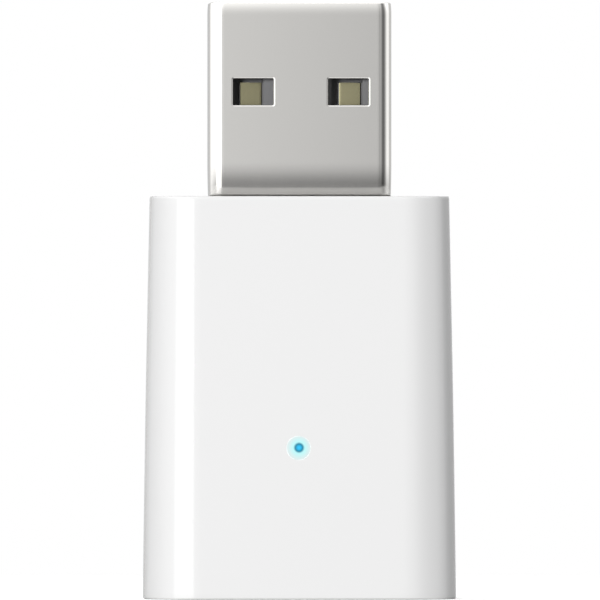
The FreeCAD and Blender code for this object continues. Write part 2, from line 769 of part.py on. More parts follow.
def shield_can():
    """A drawn can, open towards the board, with a row of vents."""
    body = new_board_body("shield_can", "0", "radio_z")
    outside = new_sketch(body, "XY_Plane")
    rounded(outside, "can_length", "can_width", "can_corner")
    extrude(body, outside, "can_height")
    top = number("can_height")
    dress(body, "Chamfer", "can_bevel", lambda edge: near(edge.BoundBox.ZMin, top))
    inside = new_sketch(body, "XY_Plane")
    rounded(inside, "can_length - 2 * can_sheet", "can_width - 2 * can_sheet", "can_corner - can_sheet")
    extrude(body, inside, "can_height - can_sheet", cut=True)
    vent = new_sketch(body, "XY_Plane")
    circle(vent, "-vent_pitch * (vent_count - 1) / 2", "0", "vent_radius")
    hole = extrude(body, vent, "2 * can_height", cut=True)
    row = body.newObject("PartDesign::LinearPattern", "vent_row")
    row.Originals = [hole]
    row.Direction = (vent, ["H_Axis"])
    bind(row, "Length", "vent_pitch * (vent_count - 1)")
    bind(row, "Occurrences", "vent_count")
    body.Tip = row
    return body


def new_part(name):
    return new_board_body(name, *BOARD_PLACES[name])


def block(body, length, width, low, high):
    """Adds a block about the body's middle, from low to high off the board."""
    sketch = new_sketch(body, "XY_Plane", low)
    rectangle(sketch, f"-({length}) / 2", f"({length}) / 2", f"-({width}) / 2", f"({width}) / 2")
    return extrude(body, sketch, f"({high}) - ({low})")


def chip_part(name, upright=False):
    """A surface-mount chip: a bar between two plated ends that stand a little proud of it."""
    body = new_part(name)
    length, width, height = (f"{name}_{size}" for size in ("length", "width", "height"))
    step = "2 * termination_step"
    if upright:
        block(body, f"{length} - {step}", width, "termination_step", f"{height} - termination_step")
    else:
        block(body, length, f"{width} - {step}", "termination_step", f"{height} - termination_step")
    ends = new_sketch(body, "XY_Plane")
    along, across = (f"{width} / 2", f"{length} / 2") if upright else (f"{length} / 2", f"{width} / 2")
    for start, end in ((f"({along} - termination)", along), (f"-{along}", f"(termination - {along})")):
        if upright:
            rectangle(ends, f"-{across}", across, start, end)
        else:
            rectangle(ends, start, end, f"-{across}", across)
    extrude(body, ends, height)
    return body


def radio_chip():
    """A flat leadless package with a round mark at its first corner."""
    body = new_part("radio_chip")
    block(body, "radio_chip_length", "radio_chip_width", "0", "radio_chip_height")
    mark = new_sketch(body, "XY_Plane", "radio_chip_height")
    inset = "2 * mark_radius"
    circle(mark, f"{inset} - radio_chip_length / 2", f"radio_chip_width / 2 - {inset}", "mark_radius")
    extrude(body, mark, "mark_depth", cut=True, forward=False)
    return body


def crystal():
    """A ceramic tray with a seam-welded lid."""
    body = new_part("crystal")
    block(body, "crystal_length", "crystal_width", "0", "crystal_height - lid_height")
    inset = "2 * lid_inset"
    lid_low = "crystal_height - lid_height"
    block(body, f"crystal_length - {inset}", f"crystal_width - {inset}", lid_low, "crystal_height")
    return body


def status_led():
    """A lamp chip: a flat base with a lens block on its middle."""
    body = new_board_body("status_led", "light_x", "light_z")
    block(body, "led_length", "led_width", "0", "led_base_height")
    block(body, "led_lens_length", "led_width", "led_base_height", "led_height")
    top = number("led_height")
    dress(body, "Chamfer", "led_base_height / 2", lambda edge: flat_at(edge, "Z", top))
    return body


def voltage_regulator():
    """A five-lead package: three bent leads below and two above."""
    body = new_part("voltage_regulator")
    length, width, height = (f"voltage_regulator_{size}" for size in ("length", "width", "height"))
    block(body, length, width, "package_lift", height)
    top = number(height)
    dress(body, "Chamfer", "package_chamfer", lambda edge: flat_at(edge, "Z", top))
    waist = f"(package_lift + ({height} - package_lift) / 2)"
    knee = f"({width} / 2 + lead_thickness)"
    for side, rows in (("-", (-1, 0, 1)), ("", (-1, 1))):
        for row in rows:
            lead = new_sketch(body, "YZ_Plane", f"{row} * lead_pitch")
            outline = (
                (f"{side}({width} / 2 - lead_thickness)", f"{waist} - lead_thickness"),
                (f"{side}{knee}", f"{waist} - lead_thickness"),
                (f"{side}{knee}", "0"),
                (f"{side}(lead_span / 2)", "0"),
                (f"{side}(lead_span / 2)", "lead_thickness"),
                (f"{side}({knee} + lead_thickness)", "lead_thickness"),
                (f"{side}({knee} + lead_thickness)", waist),
                (f"{side}({width} / 2 - lead_thickness)", waist),
            )
            polygon(lead, outline)
            extrude(body, lead, "lead_width", symmetric=True)
    return body


def surge_diode():
    """A two-lead package with a flat lead under each end."""
    body = new_part("surge_diode")
    length, width, height = (f"surge_diode_{size}" for size in ("length", "width", "height"))
    block(body, length, width, "package_lift", height)
    top = number(height)
    dress(body, "Chamfer", "package_chamfer", lambda edge: flat_at(edge, "Z", top))
    leads = new_sketch(body, "XY_Plane")
    reach = f"({width} / 2 + termination)"
    rectangle(leads, "-lead_width / 2", "lead_width / 2", f"-{reach}", reach)
    extrude(body, leads, "lead_thickness")
    return body


pieces = [front_cover(), rear_cover(), light_pipe(), usb_shell(), usb_insulator()]
pieces += [usb_contact(*place) for place in contact_places()]
pieces += [circuit_board(), antenna_trace(), shield_can(), radio_chip(), crystal(), status_led()]
pieces += [voltage_regulator(), surge_diode()]
for part_name in (
    "led_resistor",
    "bypass_capacitor_1",
    "bypass_capacitor_2",
    "matching_coil",
    "matching_capacitor",
    "pull_up_resistor",
    "output_capacitor",
    "ferrite_bead",
):
    pieces.append(chip_part(part_name))
pieces.append(chip_part("input_capacitor", upright=True))
leg_inner, leg_outer = "(tail_width / 2 - sheet)", "(tail_width / 2)"
pieces.append(tab_solder("tab_solder_right", leg_inner, leg_outer))
pieces.append(tab_solder("tab_solder_left", f"-{leg_outer}", f"-{leg_inner}"))

doc.recompute()
for thing in doc.Objects:
    if "Invalid" in thing.State or "Error" in thing.State:
        raise RuntimeError(f"{thing.Name} did not compute")
for piece in pieces:
    if piece.Shape.isNull() or not piece.Shape.isValid() or len(piece.Shape.Solids) != 1:
        raise RuntimeError(f"{piece.Label} is not one valid solid")

os.makedirs("parts", exist_ok=True)
for piece in pieces:
    piece.Shape.exportStep(os.path.join("parts", f"{piece.Label}.step"))
    box = piece.Shape.optimalBoundingBox()
    print(f"{piece.Label}: {box.XLength:.2f} x {box.YLength:.2f} x {box.ZLength:.2f} mm")
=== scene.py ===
"""The look of a small white USB radio repeater: moulded housing, plated plug and a blue status light.

The object stands on its base end with the plug up. X is its width, Y its depth with the front at -Y, Z its
height, and everything is in metres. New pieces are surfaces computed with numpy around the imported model.
"""

import math

import bmesh
import bpy
import numpy as np
from bpy.props import FloatProperty, FloatVectorProperty, PointerProperty
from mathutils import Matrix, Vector


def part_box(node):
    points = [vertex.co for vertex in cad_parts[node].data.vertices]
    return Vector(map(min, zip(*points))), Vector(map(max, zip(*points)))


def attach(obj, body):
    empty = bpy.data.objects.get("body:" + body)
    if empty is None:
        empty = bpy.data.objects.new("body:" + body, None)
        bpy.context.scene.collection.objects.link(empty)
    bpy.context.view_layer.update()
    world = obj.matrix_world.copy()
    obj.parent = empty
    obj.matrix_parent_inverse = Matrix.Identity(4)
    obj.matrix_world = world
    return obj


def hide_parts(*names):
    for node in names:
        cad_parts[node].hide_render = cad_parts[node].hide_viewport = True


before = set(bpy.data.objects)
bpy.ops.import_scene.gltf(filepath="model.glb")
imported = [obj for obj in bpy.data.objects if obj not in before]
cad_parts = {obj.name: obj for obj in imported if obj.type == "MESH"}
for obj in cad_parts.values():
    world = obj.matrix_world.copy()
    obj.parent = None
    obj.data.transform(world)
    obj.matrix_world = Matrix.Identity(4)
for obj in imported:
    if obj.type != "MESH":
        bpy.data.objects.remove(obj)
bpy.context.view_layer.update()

bl_info = {
    "name": "Small Radio Repeater",
    "version": (1, 0, 0),
    "blender": (4, 5, 0),
    "location": "View3D > Sidebar > Repeater",
    "description": "Builds the housing, plug, light and studio of a small plug-in radio repeater",
    "category": "Add Mesh",
}

MM = 0.001
MERGE = 1e-8  # metres, within which points of two patches are one
SHARP = 28.0  # degrees, past which a bend is shaded as a sharp edge

# The photograph's frame
PHOTO_PIXELS = 600
PHOTO_SCALE = 15.25 / MM  # pixels to the metre at the object's axis
AXIS_COLUMN = 299.3
BASE_ROW = 598.3
CAMERA_SENSOR = 36.0

# Rooms and reaches that no user would change
EDGE_STEP = 0.004 * MM  # a tiny step that keeps a flat face's shading apart from the roll beside it
SNUG = 0.01 * MM  # room between faces that all but touch
SEAT_GAP = 0.03 * MM  # room between the board and the posts that hold it
FIT = 0.05 * MM  # room between moulded pieces and what slides into them
PAST = 1.0 * MM  # how far a cutting body reaches past what it cuts
LIP_ROOT = 0.3 * MM  # how far the lip's body reaches into its own shell
LIP_HOLLOW = 0.5 * MM  # how far the cut inside the lip reaches there
LIP_SLOT = 1.2  # height of the lip's opening for the plug, in end walls
PIN_ROOT = 0.2 * MM  # how far a pin's body reaches into its post
FLANGE_START = 1.1 * MM  # depths of the light guide's flange behind its face
FLANGE_FULL = 1.23 * MM
FLANGE_END = 1.73 * MM
CURL_SUNK = 0.02 * MM  # how far below the housing's top the curl at the plug's root begins
TAIL_SUNK = 0.3 * MM  # how far below the housing's top the plug's tail is still straight
LEG_FRONT = 0.5 * MM  # depth at which a board leg leaves the side of the sheet
TONGUE_INSET = 0.32 * MM  # how much narrower than the block the tongue is on each side
BLOCK_OVERLAP = 0.5 * MM  # how far the tongue reaches into the block, and its deep grooves stay off it
BEND_RADIUS = 0.15 * MM  # inner radius of a contact's bends
KNEE_RISE = 1.3 * MM  # how far above its lower end a contact bends
RELIEF = 0.01 * MM  # height of the relief in a finish

HOUSING_LOW, HOUSING_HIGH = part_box("front_cover")
SHELL_LOW, SHELL_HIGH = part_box("usb_shell")
LIGHT_LOW, LIGHT_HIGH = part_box("light_pipe")
BLOCK_LOW, BLOCK_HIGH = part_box("usb_insulator")
BOARD_LOW, BOARD_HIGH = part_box("circuit_board")
REGULATOR_LOW, REGULATOR_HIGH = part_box("voltage_regulator")

BASE_WIDTH = HOUSING_HIGH.x - HOUSING_LOW.x
BASE_DEPTH = -2 * HOUSING_LOW.y
LENGTH = HOUSING_HIGH.z
PLUG_WIDTH = SHELL_HIGH.x - SHELL_LOW.x
PLUG_DEPTH = -2 * SHELL_LOW.y
MOUTH = SHELL_HIGH.z
LIGHT_CENTRE = (LIGHT_LOW + LIGHT_HIGH) / 2

CONTACTS = ("usb_contact_power", "usb_contact_data_minus", "usb_contact_data_plus", "usb_contact_ground")
OUTER_CONTACTS = (CONTACTS[0], CONTACTS[-1])
CHIP_PACKAGES = ("radio_chip", "voltage_regulator", "surge_diode")
CHIP_BARS = (
    "input_capacitor", "output_capacitor", "ferrite_bead", "bypass_capacitor_1", "bypass_capacitor_2",
    "pull_up_resistor", "led_resistor", "matching_coil", "matching_capacitor",
)
SOLDER_JOINTS = ("tab_solder_left", "tab_solder_right")


def length(name, description, millimetres):
    """A length property, shown in the user's units and given here in millimetres."""
    value = millimetres * MM
    return FloatProperty(name=name, description=description, default=value, unit="LENGTH", precision=5)


def angle(name, description, degrees):
    """An angle property, given here in degrees."""
    return FloatProperty(name=name, description=description, default=math.radians(degrees), subtype="ANGLE")


def power(name, description, watts):
    """A lamp's power in watts."""
    return FloatProperty(name=name, description=description, default=watts, unit="POWER")


def share(name, description, value):
    """A property from 0 to 1."""
    return FloatProperty(name=name, description=description, default=value, min=0, max=1, subtype="FACTOR")


def colour(name, description, value):
    """A colour property, given here in linear values."""
    return FloatVectorProperty(
        name=name, description=description, default=value, min=0, max=1, subtype="COLOR"
    )


class HousingSettings(bpy.types.PropertyGroup):
    """The moulded housing."""

    trim: length("Trim", "How much narrower the finished skin is than the packed body", 0.12)
    lower_draft: angle("Lower Draft", "Lean of the walls below the middle", 0.804)
    upper_draft: angle("Upper Draft", "Lean of the walls above the middle", 1.174)
    crown: length("Crown", "How gently one draft turns into the other", 6.0)
    corner: length("Corner", "Radius of the long edges at mid height", 3.35)
    end_edge: length("End Edge", "Radius along the top of the broad faces", 0.22)
    base_edge: length("Base Edge", "Radius along the foot of the broad faces", 0.16)
    edge_side: share("Edge Side", "Width of those edges on the narrow sides, as a share", 0.3)
    wall: length("Wall", "Thickness of the side walls", 1.2)
    end_wall: length("End Wall", "Thickness of both ends", 1.4)
    lip: length("Lip", "Height of the lip that joins the two shells", 0.8)
    lip_thickness: length("Lip Thickness", "Thickness of that lip", 0.5)
    clearance: length("Clearance", "Room between parts that fit together", 0.06)
    slot_gap: length("Slot Gap", "Room round the plug in its slot", 0.22)
    slot_bevel: length("Slot Bevel", "Bevel round the plug's slot", 0.03)
    seam: length("Seam", "Bevel along the joint of the two shells", 0.05)
    skin: length("Skin", "How far the lip stands clear of the cavity's wall", 0.01)
    post_radius: length("Post Radius", "Radius of the posts that hold the board", 1.05)
    post_margin: length("Post Margin", "Middle of a post from the board's side", 1.4)
    post_rise: length("Post Rise", "Middle of a post above the board's lower end", 1.8)
    pin_radius: length("Pin Radius", "Radius of the locating pins", 0.5)
    pin_length: length("Pin Length", "How far a pin stands out of the board", 1.6)
    rib_margin: length("Rib Margin", "Middle of a rib from the board's side", 0.7)
    rib_thickness: length("Rib Thickness", "Thickness of the ribs that hold the board", 0.8)
    rib_height: length("Rib Height", "Height of those ribs", 3.2)
    saddle_width: length("Saddle Width", "Width of the block that holds the plug's tail", 7.0)
    saddle_height: length("Saddle Height", "Height of that block", 1.0)
    saddle_drop: length("Saddle Drop", "Middle of that block below the housing's top", 2.4)
    plastic: colour("Plastic", "White of the plastic", (0.86, 0.86, 0.86))
    roughness: share("Roughness", "Roughness of the moulded skin", 0.08)


class PlugSettings(bpy.types.PropertyGroup):
    """The folded shell of the plug, its windows and what lies in it."""

    trim: length("Trim", "How much narrower the finished shell is than the packed one", 0.05)
    corner: length("Corner", "Outer radius of the folds", 0.87)
    sheet: length("Sheet", "Thickness of the sheet", 0.3)
    bow: length("Bow", "How far the broad faces bulge", 0.025)
    lead_height: length("Lead Height", "Height of the curled mouth", 0.8)
    lead_inset: length("Lead Inset", "How far the broad faces curl inward at the mouth", 0.16)
    lead_side: length("Lead Side", "How far the narrow sides curl inward there", 0.04)
    neck_height: length("Neck Height", "Height of the drawn-in root", 2.25)
    neck_front: length("Neck Front", "Inset of the root in depth", 0.2)
    neck_side: length("Neck Side", "Inset of the root in width", 0.03)
    root_height: length("Root Height", "Height of the curl where the shell enters the housing", 0.15)
    root_inset: length("Root Inset", "Inset of that curl", 0.08)
    window_x: length("Window Place", "Middle of a window from the axis", 3.115)
    window_drop: length("Window Drop", "Middle of a window below the mouth", 5.87)
    window_width: length("Window Width", "Width of a window", 2.64)
    window_height: length("Window Height", "Height of a window", 1.73)
    window_corner: length("Window Corner", "Corner radius of a window", 0.04)
    window_rim: length("Window Rim", "Width of the rolled edge round a window", 0.1)
    seam: length("Seam", "Gap where the sheet meets itself", 0.08)
    leg_width: length("Leg Width", "Width of the two board legs", 1.2)
    leg_drop: length("Leg Drop", "Middle of a leg below the housing's top", 3.6)
    tongue_thickness: length("Tongue Thickness", "Thickness of the moulded tongue", 1.9)
    tongue_chamfer: length("Tongue Chamfer", "Bevel round the tongue's tip", 0.35)
    block_rise: length("Block Rise", "How far the moulded block stands out of the housing", 3.0)
    contact_thickness: length("Contact Thickness", "Thickness of a contact strip", 0.25)
    contact_shift: length("Contact Shift", "Shift of the contacts to the right of their packed places", 0.06)
    inner_bevel: length("Inner Bevel", "Width of the shallow bevel on a contact's inward edge", 0.15)
    inner_slope: length("Inner Slope", "Depth of that bevel", 0.025)
    outer_bevel: length("Outer Bevel", "Bevel along its other edge and at its tip", 0.03)
    tip_rise: length("Tip Rise", "How far a contact's tip stands above its packed place", 0.07)
    channel_gap: length("Channel Gap", "Room beside a contact in its channel", 0.12)
    groove_width: length("Groove Width", "Width of the deep groove on the left of the outer contacts", 0.5)
    groove_depth: length("Groove Depth", "Depth of that groove", 1.5)
    tip_gap: length("Tip Gap", "Room above a contact's tip in its channel", 0.35)
    plating: colour("Plating", "Colour of the plated shell", (0.655, 0.645, 0.625))
    gold: colour("Gold", "Colour of the contacts", (0.31, 0.29, 0.18))
    roughness: share("Roughness", "Roughness of the plating", 0.14)


class LightSettings(bpy.types.PropertyGroup):
    """The round status light."""

    radius: length("Radius", "Radius of the light guide", 0.775)
    dome: length("Dome", "Height of its domed face", 0.03)
    dot: length("Dot", "Radius of the blue dot", 0.3)
    glow: length("Glow", "Radius at which the halo fades", 0.74)
    blue: colour("Blue", "Colour of the dot", (0.01, 0.59, 1.0))
    halo: colour("Halo", "Colour of the halo", (0.5, 0.93, 0.94))
    rim: colour("Rim", "Colour at the rim", (0.73, 0.83, 0.83))
    aside: length("Aside", "How far the dot lies to the right of the middle", 0.026)
    above: length("Above", "How far the dot lies above the middle", 0.023)


class StudioSettings(bpy.types.PropertyGroup):
    """Camera, lamps and floor."""

    distance: length("Distance", "Camera to the object's axis", 1000.0)
    turn: angle("Turn", "How far round to the left the camera stands", 2.6)
    lamp_distance: length("Lamp Distance", "Every lamp to the object's middle", 600.0)
    key_turn: angle("Key Turn", "How far round to the left the key lamp stands", 14.0)
    key_rise: angle("Key Rise", "How high the key lamp stands", 4)
    key_power: power("Key Power", "Power of the key lamp", 2.98)
    side_power: power("Side Power", "Power of the left lamp", 0.45)
    rear_power: power("Rear Power", "Power of each rear lamp", 1.85)
    ambient: FloatProperty(name="Ambient", description="Level of the light from all round", default=0.5)
    floor: share("Floor", "Grey of the floor", 0.8)
    floor_radius: length("Floor Radius", "Distance at which the floor has faded away", 90.0)
    floor_middle: share("Floor Middle", "Share of that distance over which it doesn't fade", 0.3)


# Surfaces


def guarded(steps, guard=0.012):
    """Even places from 0 to 1 with one more close to each end, so that shading stays flat up to a bend."""
    return np.concatenate(([0.0, guard], np.linspace(0, 1, steps + 1)[1:-1], [1 - guard, 1.0]))


def full_turn(steps):
    """Even angles round a circle, in radians."""
    return np.linspace(0, 2 * math.pi, steps, endpoint=False)


def half_outline(arc_steps=28, side_steps=2, front_steps=8):
    """Weights of a rounded rectangle's front half, from its left middle round the front to its right middle.

    A point is (a * flat_x + c * corner, b * flat_y + d * corner), where flat_x and flat_y are half the
    straight sides. Along a straight side a or b runs evenly, and round a corner c and d are the turn's cosine
    and sine.
    """
    side, front = guarded(side_steps), guarded(front_steps)
    left_turn = np.linspace(math.pi, 1.5 * math.pi, arc_steps + 1)[1:-1]
    right_turn = left_turn + math.pi / 2
    one_side, one_front, one_turn = np.ones_like(side), np.ones_like(front), np.ones_like(left_turn)
    rows = [
        (-one_side, -side, -one_side, 0 * side),
        (-one_turn, -one_turn, np.cos(left_turn), np.sin(left_turn)),
        (2 * front - 1, -one_front, 0 * front, -one_front),
        (one_turn, -one_turn, np.cos(right_turn), np.sin(right_turn)),
        (one_side, -side[::-1], one_side, 0 * side),
    ]
    return np.concatenate([np.stack(row, axis=1) for row in rows])


def full_outline(**steps):
    """The half outline and its mirror image behind, as one closed ring."""
    half = half_outline(**steps)
    return np.concatenate((half, half[::-1][1:-1] * (1, -1, 1, -1)))


def sections(weights, z, width, depth, corner):
    """A grid of points: one rounded rectangle for each height, in rows."""
    z, width, depth, corner = np.broadcast_arrays(z, width, depth, corner)
    a, b, c, d = weights.T
    x = np.outer(width / 2 - corner, a) + np.outer(corner, c)
    y = np.outer(depth / 2 - corner, b) + np.outer(corner, d)
    return np.stack((x, y, np.broadcast_to(z[:, None], x.shape)), axis=-1)


class Patchwork:
    """Grids and flat faces collected as arrays, and joined into one mesh where their edges meet."""

    def __init__(self):
        self.points = []
        self.faces = []
        self.count = 0

    def grid(self, rows, ring=False, loop=False):
        """Adds a grid of points. ring closes each row on itself, and loop joins the last row to the first."""
        height, width = rows.shape[:2]
        index = np.arange(height * width).reshape(height, width) + self.count
        if ring:
            index = np.concatenate((index, index[:, :1]), axis=1)
        if loop:
            index = np.concatenate((index, index[:1]))
        quads = np.stack((index[:-1, :-1], index[:-1, 1:], index[1:, 1:], index[1:, :-1]), axis=-1)
        self.points.append(rows.reshape(-1, 3))
        self.faces += quads.reshape(-1, 4).tolist()
        self.count += height * width
        return index

    def tube(self, rows):
        """Adds a grid whose rows are rings, and closes its two ends with flat faces."""
        index = self.grid(rows, ring=True)
        self.flat(index[0, :-1])
        self.flat(index[-1, :-1])

    def flat(self, index):
        """Adds one flat face through points that are there already."""
        self.faces.append(np.asarray(index).tolist())

    def build(self, name):
        """Makes the piece: one object with all that was collected as its mesh."""
        mesh = bpy.data.meshes.new(name)
        mesh.from_pydata(np.concatenate(self.points).tolist(), [], self.faces)
        piece = bpy.data.objects.new(name, mesh)
        bpy.context.scene.collection.objects.link(piece)
        tidy(piece)
        return piece


def tidy(piece):
    """Merges doubled points, drops faces without area and turns all faces outwards."""
    work = bmesh.new()
    work.from_mesh(piece.data)
    bmesh.ops.remove_doubles(work, verts=work.verts, dist=MERGE)
    bmesh.ops.dissolve_degenerate(work, edges=work.edges, dist=MERGE)
    bmesh.ops.recalc_face_normals(work, faces=work.faces)
    work.to_mesh(piece.data)
    work.free()


def column(outline, path, axis=2):
    """A closed body: a flat outline carried along one axis, its stations given as (place, growth) rows.

    Growth moves the outline's points outwards along its own normals. The outline's two coordinates are the
    other two axes in order, and both ends are closed by flat faces.
    """
    after, before = np.roll(outline, -1, axis=0), np.roll(outline, 1, axis=0)
    along = after - outline
    behind = outline - before
    along /= np.linalg.norm(along, axis=1, keepdims=True)
    behind /= np.linalg.norm(behind, axis=1, keepdims=True)
    normal = np.stack((along[:, 1] + behind[:, 1], -along[:, 0] - behind[:, 0]), axis=1)
    normal /= (1 + np.sum(along * behind, axis=1))[:, None]
    path = np.asarray(path, dtype=float)
    flat = outline[None] + normal[None] * path[:, 1, None, None]
    place = np.broadcast_to(path[:, 0, None, None], flat.shape[:2] + (1,))
    rows = np.concatenate((flat, place), axis=-1)
    order = {0: (2, 0, 1), 1: (0, 2, 1), 2: (0, 1, 2)}[axis]
    work = Patchwork()
    work.tube(rows[..., order])
    return work


def prism(outline, low, high, axis=1):
    """A closed body with the same outline from one place on an axis to another."""
    return column(outline, ((low, 0), (high, 0)), axis)


def box_outline(low_a, high_a, low_b, high_b):
    """The four corners of a rectangle between two places on each of its axes."""
    return np.array(((low_a, low_b), (high_a, low_b), (high_a, high_b), (low_a, high_b)))


def centred_box(across, up, width, height):
    """The four corners of a rectangle about its middle."""
    return box_outline(across - width / 2, across + width / 2, up - height / 2, up + height / 2)


def round_outline(across, up, radius, steps):
    """Points of a circle: the middle plus the radius times the cosine and sine of even angles."""
    turn = full_turn(steps)
    return np.stack((across + radius * np.cos(turn), up + radius * np.sin(turn)), axis=1)


def soft_box_outline(across, up, width, height, corner, arc_steps=5):
    """A rectangle about its middle with quarter circles at its corners."""
    ring = full_outline(arc_steps=arc_steps, side_steps=1, front_steps=1)
    flat = sections(ring, np.zeros(1), width, height, corner)[0, :, :2] + (across, up)
    keep = np.linalg.norm(flat - np.roll(flat, 1, axis=0), axis=1) > MERGE
    return flat[keep]


def settle(piece):
    """Puts the result of a piece's modifiers into its mesh."""
    bpy.context.view_layer.update()
    shown = piece.evaluated_get(bpy.context.evaluated_depsgraph_get())
    mesh = bpy.data.meshes.new_from_object(shown)
    old = piece.data
    piece.modifiers.clear()
    piece.data = mesh
    bpy.data.meshes.remove(old)
    mesh.name = piece.name


def carve(piece, tools, operation="DIFFERENCE"):
    """Cuts other bodies out of a piece, or joins them to it, and clears them away."""
    for tool in tools:
        body = tool.build("tool")
        change = piece.modifiers.new("change", "BOOLEAN")
        change.operation = operation
        change.solver = "EXACT"
        change.object = body
        settle(piece)
        bpy.data.objects.remove(body)


def finish_piece(piece, material, nodes):
    """Shades a piece, gives it its material and slot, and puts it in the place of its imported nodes."""
    tidy(piece)
    piece.data.shade_smooth()
    piece.data.set_sharp_from_angle(angle=math.radians(SHARP))
    weigh = piece.modifiers.new("weigh", "WEIGHTED_NORMAL")
    weigh.keep_sharp = True
    weigh.weight = 100
    settle(piece)
    piece.data.materials.clear()
    piece.data.materials.append(material)
    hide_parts(*nodes)
    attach(piece, "root")


# Shader groups and materials


class Wiring:
    """A node tree with short calls for adding nodes and joining them."""

    def __init__(self, tree):
        self.tree = tree

    def node(self, kind, *values, traits=None, **inputs):
        """A new node. Values go to its first inputs in order, the others to inputs by name, _ for a space."""
        made = self.tree.nodes.new(kind)
        for name, value in (traits or {}).items():
            setattr(made, name, value)
        for index, value in enumerate(values):
            self.feed(made, index, value)
        for name, value in inputs.items():
            self.feed(made, name.replace("_", " "), value)
        return made

    def feed(self, node, socket, value):
        """Sets an input to a value, or joins it to an output."""
        goal = node.inputs[socket]
        if isinstance(value, bpy.types.NodeSocket):
            self.tree.links.new(value, goal)
        else:
            goal.default_value = value

    def place(self):
        """The Object coordinates."""
        return self.node("ShaderNodeTexCoord").outputs["Object"]

    def math(self, operation, *values):
        """Numbers combined by an operation."""
        return self.node("ShaderNodeMath", *values, traits={"operation": operation}).outputs[0]

    def vector(self, operation, *values, **inputs):
        """Vectors or colours combined part by part."""
        made = self.node("ShaderNodeVectorMath", *values, traits={"operation": operation}, **inputs)
        return made.outputs[0]

    def distance(self, vector):
        """The length of a vector."""
        return self.node("ShaderNodeVectorMath", vector, traits={"operation": "LENGTH"}).outputs["Value"]

    def fade(self, value, low, high, kind="LINEAR"):
        """A factor that goes from 0 at the low value to 1 at the high one."""
        traits = {"interpolation_type": kind}
        made = self.node("ShaderNodeMapRange", traits=traits, Value=value, From_Min=low, From_Max=high)
        return made.outputs["Result"]

    def mixed(self, factor, first, second, blend="MIX"):
        """Two colours mixed by a factor. The node's sockets for colours come after those for other kinds."""
        made = self.node("ShaderNodeMix", factor, traits={"data_type": "RGBA", "blend_type": blend})
        first_colour, second_colour, mixed_colour = 6, 7, 2
        self.feed(made, first_colour, first)
        self.feed(made, second_colour, second)
        return made.outputs[mixed_colour]

    def noise(self, vector, scale, detail, roughness=0.5):
        """Layered noise from 0 to 1."""
        made = self.node("ShaderNodeTexNoise", Vector=vector, Scale=scale, Detail=detail, Roughness=roughness)
        return made.outputs["Fac"]

    def ramp(self, factor, stops):
        """A colour ramp through (place, colour) stops."""
        made = self.node("ShaderNodeValToRGB", factor)
        elements = made.color_ramp.elements
        while len(elements) < len(stops):
            elements.new(0.5)
        for element, (place, value) in zip(elements, stops):
            element.position = place
            element.color = (*value, 1)
        return made.outputs["Color"]

    def group(self, tree, values):
        """The outputs of a shader group placed here with values of its own."""
        made = self.node("ShaderNodeGroup", traits={"node_tree": tree})
        for title, value in values.items():
            self.feed(made, title, value)
        return made.outputs

    def surface(self, **inputs):
        """The material's own shader, joined to its output."""
        shader = self.node("ShaderNodeBsdfPrincipled", **inputs)
        self.node("ShaderNodeOutputMaterial", Surface=shader.outputs["BSDF"])


def new_group(name, inputs, outputs):
    """A shader node group with named sockets, its own input and output nodes and a wiring."""
    tree = bpy.data.node_groups.new(name, "ShaderNodeTree")
    for title, kind, value in inputs:
        socket = tree.interface.new_socket(name=title, in_out="INPUT", socket_type=f"NodeSocket{kind}")
        if value is not None:
            socket.default_value = value
    for title, kind in outputs:
        tree.interface.new_socket(name=title, in_out="OUTPUT", socket_type=f"NodeSocket{kind}")
    wiring = Wiring(tree)
    return tree, wiring, tree.nodes.new("NodeGroupInput").outputs, tree.nodes.new("NodeGroupOutput")


GRAIN_INPUTS = (
    ("Vector", "Vector", None),
    ("Scale", "Float", 300.0),
    ("Colour", "Color", (0.8, 0.8, 0.8, 1)),
    ("Colour Change", "Float", 0.02),
    ("Roughness", "Float", 0.2),
    ("Roughness Change", "Float", 0.05),
)
GRAIN_OUTPUTS = (("Colour", "Color"), ("Roughness", "Float"), ("Height", "Float"))


def put_out(wiring, given, result, grain, height):
    """Lays a grain, centred on 0, over the given colour and roughness, and puts them out with a height."""
    level = wiring.math("ADD", 1.0, wiring.math("MULTIPLY", grain, given["Colour Change"]))
    rough = wiring.math("ADD", given["Roughness"], wiring.math("MULTIPLY", grain, given["Roughness Change"]))
    wiring.feed(result, "Colour", wiring.vector("SCALE", given["Colour"], Scale=level))
    wiring.feed(result, "Roughness", rough)
    wiring.feed(result, "Height", height)


def skin_group():
    """Moulded skin: very faint clouds in its colour, roughness and surface, from layered noise."""
    tree, wiring, given, result = new_group("moulded_skin", GRAIN_INPUTS, GRAIN_OUTPUTS)
    clouds = wiring.noise(given["Vector"], given["Scale"], detail=6.0, roughness=0.6)
    fine_scale = wiring.math("MULTIPLY", given["Scale"], 9.0)
    fine = wiring.noise(given["Vector"], fine_scale, detail=3.0)
    height = wiring.math("ADD", clouds, wiring.math("MULTIPLY", fine, 0.4))
    put_out(wiring, given, result, wiring.math("SUBTRACT", clouds, 0.5), height)
    return tree


def brushed_group():
    """Rolled or drawn metal: fine lines in colour, roughness and surface, from noise stretched one way."""
    inputs = (*GRAIN_INPUTS, ("Stretch", "Vector", (1.0, 1.0, 0.05)))
    tree, wiring, given, result = new_group("drawn_metal", inputs, GRAIN_OUTPUTS)
    stretched = wiring.vector("MULTIPLY", given["Vector"], given["Stretch"])
    lines = wiring.noise(stretched, given["Scale"], detail=5.0, roughness=0.6)
    cloud_scale = wiring.math("MULTIPLY", given["Scale"], 0.06)
    clouds = wiring.noise(given["Vector"], cloud_scale, detail=4.0)
    both = wiring.math("ADD", wiring.math("MULTIPLY", lines, 0.6), wiring.math("MULTIPLY", clouds, 0.4))
    put_out(wiring, given, result, wiring.math("SUBTRACT", both, 0.5), lines)
    return tree


